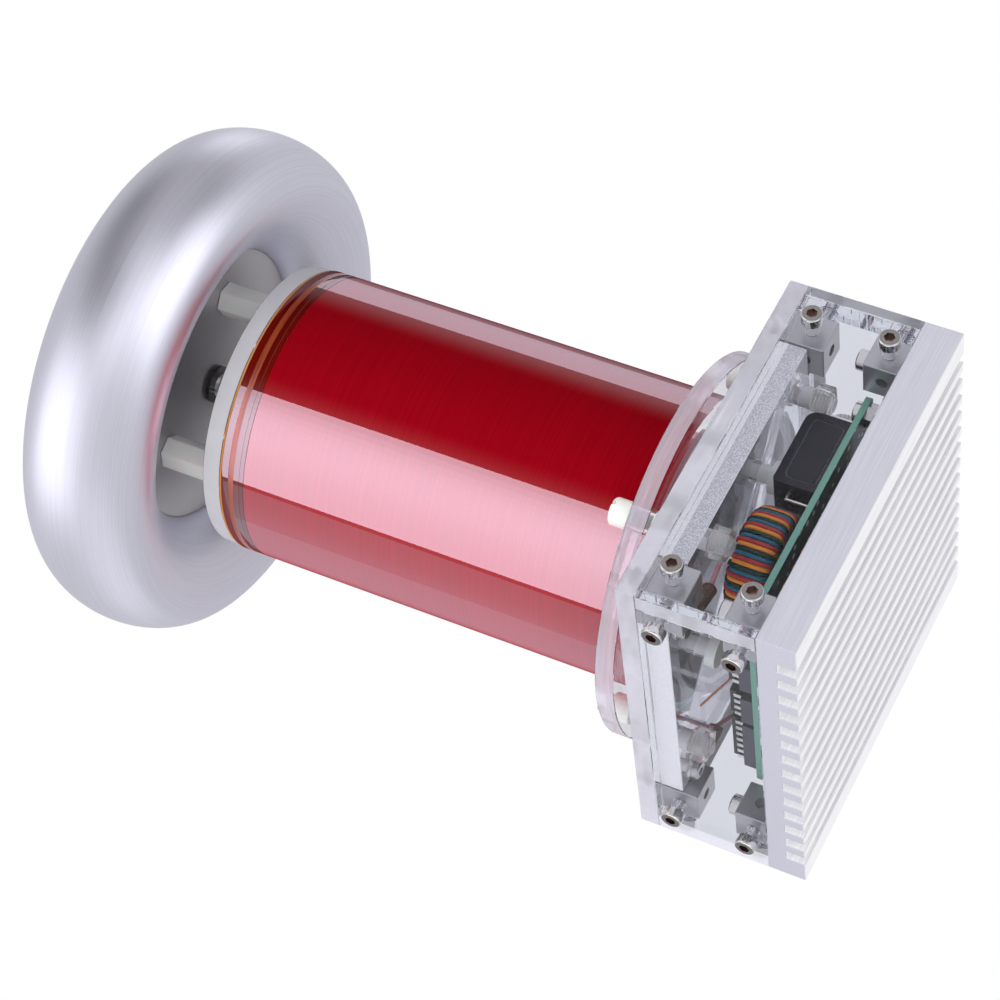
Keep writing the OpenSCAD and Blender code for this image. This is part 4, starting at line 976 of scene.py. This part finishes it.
flange_screw = nylon_screw(25.2, 5, 7, 6)
flange_screw.data.materials.append(white_nylon)
edge_finish(flange_screw, lambda c, n: c.z < -0.001, clear_nylon)
spread(flange_screw, flange_spots, "nylon_flange_screws", white_nylon, "flange_screws",
    lift=RING_TOP + GAP)
spread(ring_of(2.7, 3.5, LID_TOP + GAP, RING_Z - GAP, 40, 0.15), flange_spots, "nylon_spacers",
    white_nylon, "flange_spacers")
spread(hexagon_bar(29.5, INNER_Z - GAP), flange_spots, "nylon_nuts", clear_nylon, "flange_nuts")
spread(hexagon_bar(CROWN_TOP + GAP, JOINT - FLOOR_THICK - GAP), stud_spots, "nylon_standoffs",
    white_nylon, "toroid_standoffs", turns=(10, 40, 95))

# %% [markdown]
# The heavy wire round the coil's foot is one length: up through the plates, four turns with a
# little climb, and out through the slot in the ring. A curve with a bevel would give the same
# tube; a circle carried along the way and turned at each point stays round on every bend.

# %% Heavy wire
def draw_wire(points, r, sides):
    """A round wire through points in mm: a circle carried from each point to the next."""
    pts = [Vector(p) for p in points]
    dirs = [(b - a).normalized() for a, b in zip(pts[:1] + pts, pts[1:] + pts[-1:])]
    bpy.ops.mesh.primitive_circle_add(vertices=sides, radius=r * MM, fill_type="NOTHING",
        location=[v * MM for v in pts[0]], rotation=dirs[0].to_track_quat("Z", "Y").to_euler())
    o = put(bpy.context.object)
    edit(o, "EDGE", "SELECT")
    bpy.ops.mesh.edge_face_add()
    bpy.ops.mesh.select_mode(type="EDGE")
    for i in range(1, len(pts)):
        draw_out((pts[i] - pts[i - 1]) * MM)
        axis, angle = dirs[i - 1].rotation_difference(dirs[i]).to_axis_angle()
        if abs(angle) > 1e-5:
            z_axis = axis.normalized()
            x_axis = z_axis.orthogonal().normalized()
            bpy.ops.transform.rotate(value=-angle, orient_axis="Z", orient_type="GLOBAL",
                orient_matrix=Matrix((x_axis, z_axis.cross(x_axis), z_axis)).transposed(),
                orient_matrix_type="GLOBAL", center_override=pts[i] * MM)
    bpy.ops.mesh.edge_face_add()
    fresh()
    return settle(o)

WIRE_D, FIRST_Z, CLIMB, TURNS, PER_TURN, TAIL_Z = 1.3, 46.3, 1.8, 4, 64, 32.9
way = [(*at_angle(TURN_R, WAY_IN), z) for z in (TAIL_Z, 44.4)]
for i in range(1, PER_TURN * TURNS + 1):
    way.append((*at_angle(TURN_R, WAY_IN + 360 * i / PER_TURN), FIRST_Z + CLIMB * i / PER_TURN))
for i in range(1, 12):
    way.append((*at_angle(TURN_R, WAY_IN + 5.6 * i), FIRST_Z + CLIMB * (TURNS + 5.6 * i / 360)))
top_z = FIRST_Z + CLIMB * (TURNS + 75 / 360)
way += [(*at_angle(TURN_R, 305.8), top_z), (*at_angle(TURN_R + 0.65, WAY_OUT), top_z)]
way += [(*at_angle(OUT_R, WAY_OUT), z) for z in (top_z - 0.33, top_z - 1.3, TAIL_Z)]
heavy = smooth(draw_wire(way, WIRE_D / 2, 14), 60)
named(heavy, "heavy_wire_turns", wire_mauve, "primary_winding")

# %% [markdown]
# The transformer is wound with a flat ribbon of four wires, loop beside loop round a ring of
# ferrite, each leaning a little to reach the next. One long helix would be harder to bend round
# the square section, so each wire has one loop drawn and copied round the ring.

# %% Ribbon loops
LOOPS, R_IN, R_OUT, LOW, TALL, WIRE = 18, 6.95, 13.25, 20.95, 10.0, 1.1
AXIS_X, AXIS_Y = 18.999, -10.799

def squared(angle, power):
    """A point of a circle pushed out towards a square."""
    return (copysign(abs(v) ** power, v) for v in (cos(angle), sin(angle)))

def ribbon_way(wire, stations=34):
    """One turn of one wire: up the outer wall, in over the top, down the bore and out below.
    The step to the next turn is all made inside, and every second wire rides over the others."""
    pts = []
    middle_z, over = LOW + TALL / 2, 0.95 * (wire % 2)
    for i in range(stations + 1):
        part = i / stations
        u, v = squared(2 * pi * part, 0.55)
        inside = (1 - u) / 2
        lean = min(1, max(0, (part - 0.2) / 0.6))
        lean = lean * lean * (3 - 2 * lean)
        r = (R_IN + R_OUT) / 2 + (R_OUT - R_IN) / 2 * u - over * inside
        lift = over * 0.75 * sin(pi * min(1, inside * 1.4)) * (1 if v > 0 else 0.3)
        pts.append((*at_angle(r, 360 / LOOPS * lean), middle_z + (TALL / 2 + lift) * v))
    return pts

for w, (colour, mat) in enumerate(ribbon_colours.items()):
    places = [moved(AXIS_X, AXIS_Y) @ spun(360 / LOOPS * (i + w / 4)) for i in range(LOOPS)]
    winding = smooth(copied(draw_wire(ribbon_way(w), WIRE / 2, 8), places), 60)
    named(winding, f"ribbon_wire_{colour}", mat, f"winding_{colour}")

# %% [markdown]
# The board is sheet laminate, drilled at its corners and paler along the sawn edge. The film
# capacitor is a moulded box with a sunk outline on its long sides. A bump could hint at it, but a
# real groove holds its shadow from every side. The groove's floor and walls are painted a paler
# grey than the moulding, as painted light that draws the outline.

# %% Board and capacitor
def round_edges(o, test, radius, segments):
    """Rounds the edges that pass the test, by (end, end)."""
    edit(o, "EDGE")
    pick(o, test, "EDGE")
    bpy.ops.mesh.bevel(offset=radius * MM, segments=segments)
    return settle(o)

board = block((-34.5, -34.5, 17), (34.5, 34.5, 18.6))
round_edges(board, lambda a, b: abs(a.z - b.z) > 0.001, 1.0, 4)
holes = [(31.29, 31.29), (31.29, -31.29), (-31.29, 31.29), (-31.29, -17.99)]
smooth(bored(board, [pin(*at, 16, 20, SCREW_BORE, 24) for at in holes]))
named(board, "driver_board", solder_mask, "circuit_board")
edge_finish(board, lambda c, n: abs(n.z) < 0.3, board_edge)
# The underside gets its painted shade and the dots of solder.
edge_finish(board, lambda c, n: n.z < -0.9, board_underside_shade_and_solder)

FILM_Y0, FILM_Y1, FILM_TOP = 5.5, 28.5, 31
film = block((15, FILM_Y0, 18.6 + GAP), (30, FILM_Y1, FILM_TOP))
for far, radius, segments in ((True, 3.0, 10), (False, 1.0, 5)):
    round_edges(film, lambda a, b: abs(a.x - b.x) > 0.005 and a.z > 0.0308 and
        (a.y > 0.02) == far, radius, segments)

def outline_tool(x0, x1):
    """A thin frame with round corners that sinks the outline into a long side."""
    frames = [round_edges(block((x0, FILM_Y0 + edge, 18.65 + edge),
        (x1, FILM_Y1 - edge, FILM_TOP - edge)), lambda a, b: abs(a.x - b.x) > 1e-4, radius, 6)
        for edge, radius in ((2.0, 1.6), (2.4, 1.2))]
    return bored(frames[0], [frames[1]])

for x0 in (29.8, 14.4):
    bored(film, [outline_tool(x0, x0 + 0.8)])
smooth(film)
named(film, "film_capacitor_box", black_moulding, "film_capacitor")
# The sunk outline gets its painted light.
edge_finish(film, lambda c, n: 0.0155 > c.x > 0.01505 or 0.0297 < c.x < 0.02995, outline_painted_light)

# %% [markdown]
# The near thin lead crosses over the transformer and goes down its bore, the far one goes straight
# to the board. Curves would do; points with rounded corners are easier to keep clear of the parts.
# A small ring wound with pale wire stands on edge: one loop is copied round a plain core.

# %% Driver leads and ring coil
def rounded(points, radius, steps=5):
    """The same way with each corner turned into a short curve."""
    pts = [Vector(p) for p in points]
    out = [pts[0]]
    for a, b, c in zip(pts, pts[1:], pts[2:]):
        r = min(radius, (b - a).length * 0.45, (c - b).length * 0.45)
        p, q = b + (a - b).normalized() * r, b + (c - b).normalized() * r
        for t in (i / steps for i in range(steps + 1)):
            out.append(p * (1 - t) ** 2 + b * 2 * t * (1 - t) + q * t ** 2)
    return out + pts[-1:]

near_way = rounded([(27.7, -27.9, 32.1), (29.5, -21.5, 32.5), (26.2, -15.0, 32.75),
    (20.5, -11.2, 32.6), (19.0, -10.8, 30.5), (19.0, -10.8, 18.7)], 2.5)
far_way = rounded([(-27.5, -27.9, 32.1), (-28.6, -19.0, 27.6), (-26.2, -17.9, 18.7)], 3.0)
leads = joined([smooth(draw_wire(lead, 0.6, 10), 60) for lead in (near_way, far_way)])
named(leads, "thin_leads", wire_mauve, "driver_leads")

RING_LOOPS = 24
core = turned([(2.3, -1.6), (4.0, -1.6), (4.0, 1.6), (2.3, 1.6)], 32, closed=True)
way = [(3.15 + 0.9 * u, 0, 2.05 * v)
    for u, v in (squared(2 * pi * i / RING_LOOPS, 0.5) for i in range(RING_LOOPS + 1))]
loop = draw_wire(way, 0.45, 8)
ring_coil = copied(loop, [spun(360 / RING_LOOPS * i) for i in range(RING_LOOPS)], core)
turn_about(ring_coil, "X", 90)
ring_coil.location = Vector((21.5, 31.7, 23.15)) * MM
smooth(put(ring_coil), 50)
named(ring_coil, "small_ring_coil", cream_wire, "current_transformer")

# %% [markdown]
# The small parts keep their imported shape. They could be modelled again, but at their size only the
# finish shows, so each gets its material and no more.

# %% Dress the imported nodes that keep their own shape
dressed = 0
for mat, names in (
        (bright_steel, ("board_screws", "package_screws", "heat_sink_screws", "top_plate_screws",
            "power_socket_nut", "terminal_bolt", "terminal_nut")),
        (white_nylon, ("coil_base_screws", "standoff_lower_screws", "standoff_upper_screws")),
        (tinned, ("package_leads", "capacitor_leads", "ic_pins", "terminal_lugs")),
        (nickel, ("board_standoffs", "terminal_screws")), (dark_metal, ("terminal_washer",)),
        (chip_black, ("power_packages", "driver_ics")), (socket_grey, ("ic_sockets",)),
        (black_moulding, ("power_socket",)), (pad_white, ("thermal_pads",)),
        (ferrite, ("transformer_core",)), (sleeve_dark, ("lug_sleeves",)),
        (supply_red, ("supply_leads",)), (wire_mauve, ("primary_leads",)),
        (wire_copper, ("ground_lead",))):
    for name in names:
        slots = nodes[name].data.materials
        slots.clear()
        slots.append(mat)
        dressed += 1
print("dressed", dressed, "of", sum(not o.hide_render for o in nodes.values()), "nodes that show")

# %% [markdown]
# Last, each piece joins the group of lamps that lights it. It could be done as each is made; done
# once by name, none is forgotten.

# %% Light groups
coil_names = ("wound_sleeve", "varnish_band", "varnish_run_out", "varnish_foot_band", "bare_tube")
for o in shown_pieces():
    of_toroid = o.name.startswith("spun_")
    (coil_group if o.name in coil_names else toroid_group if of_toroid else
        rest_group).objects.link(o)
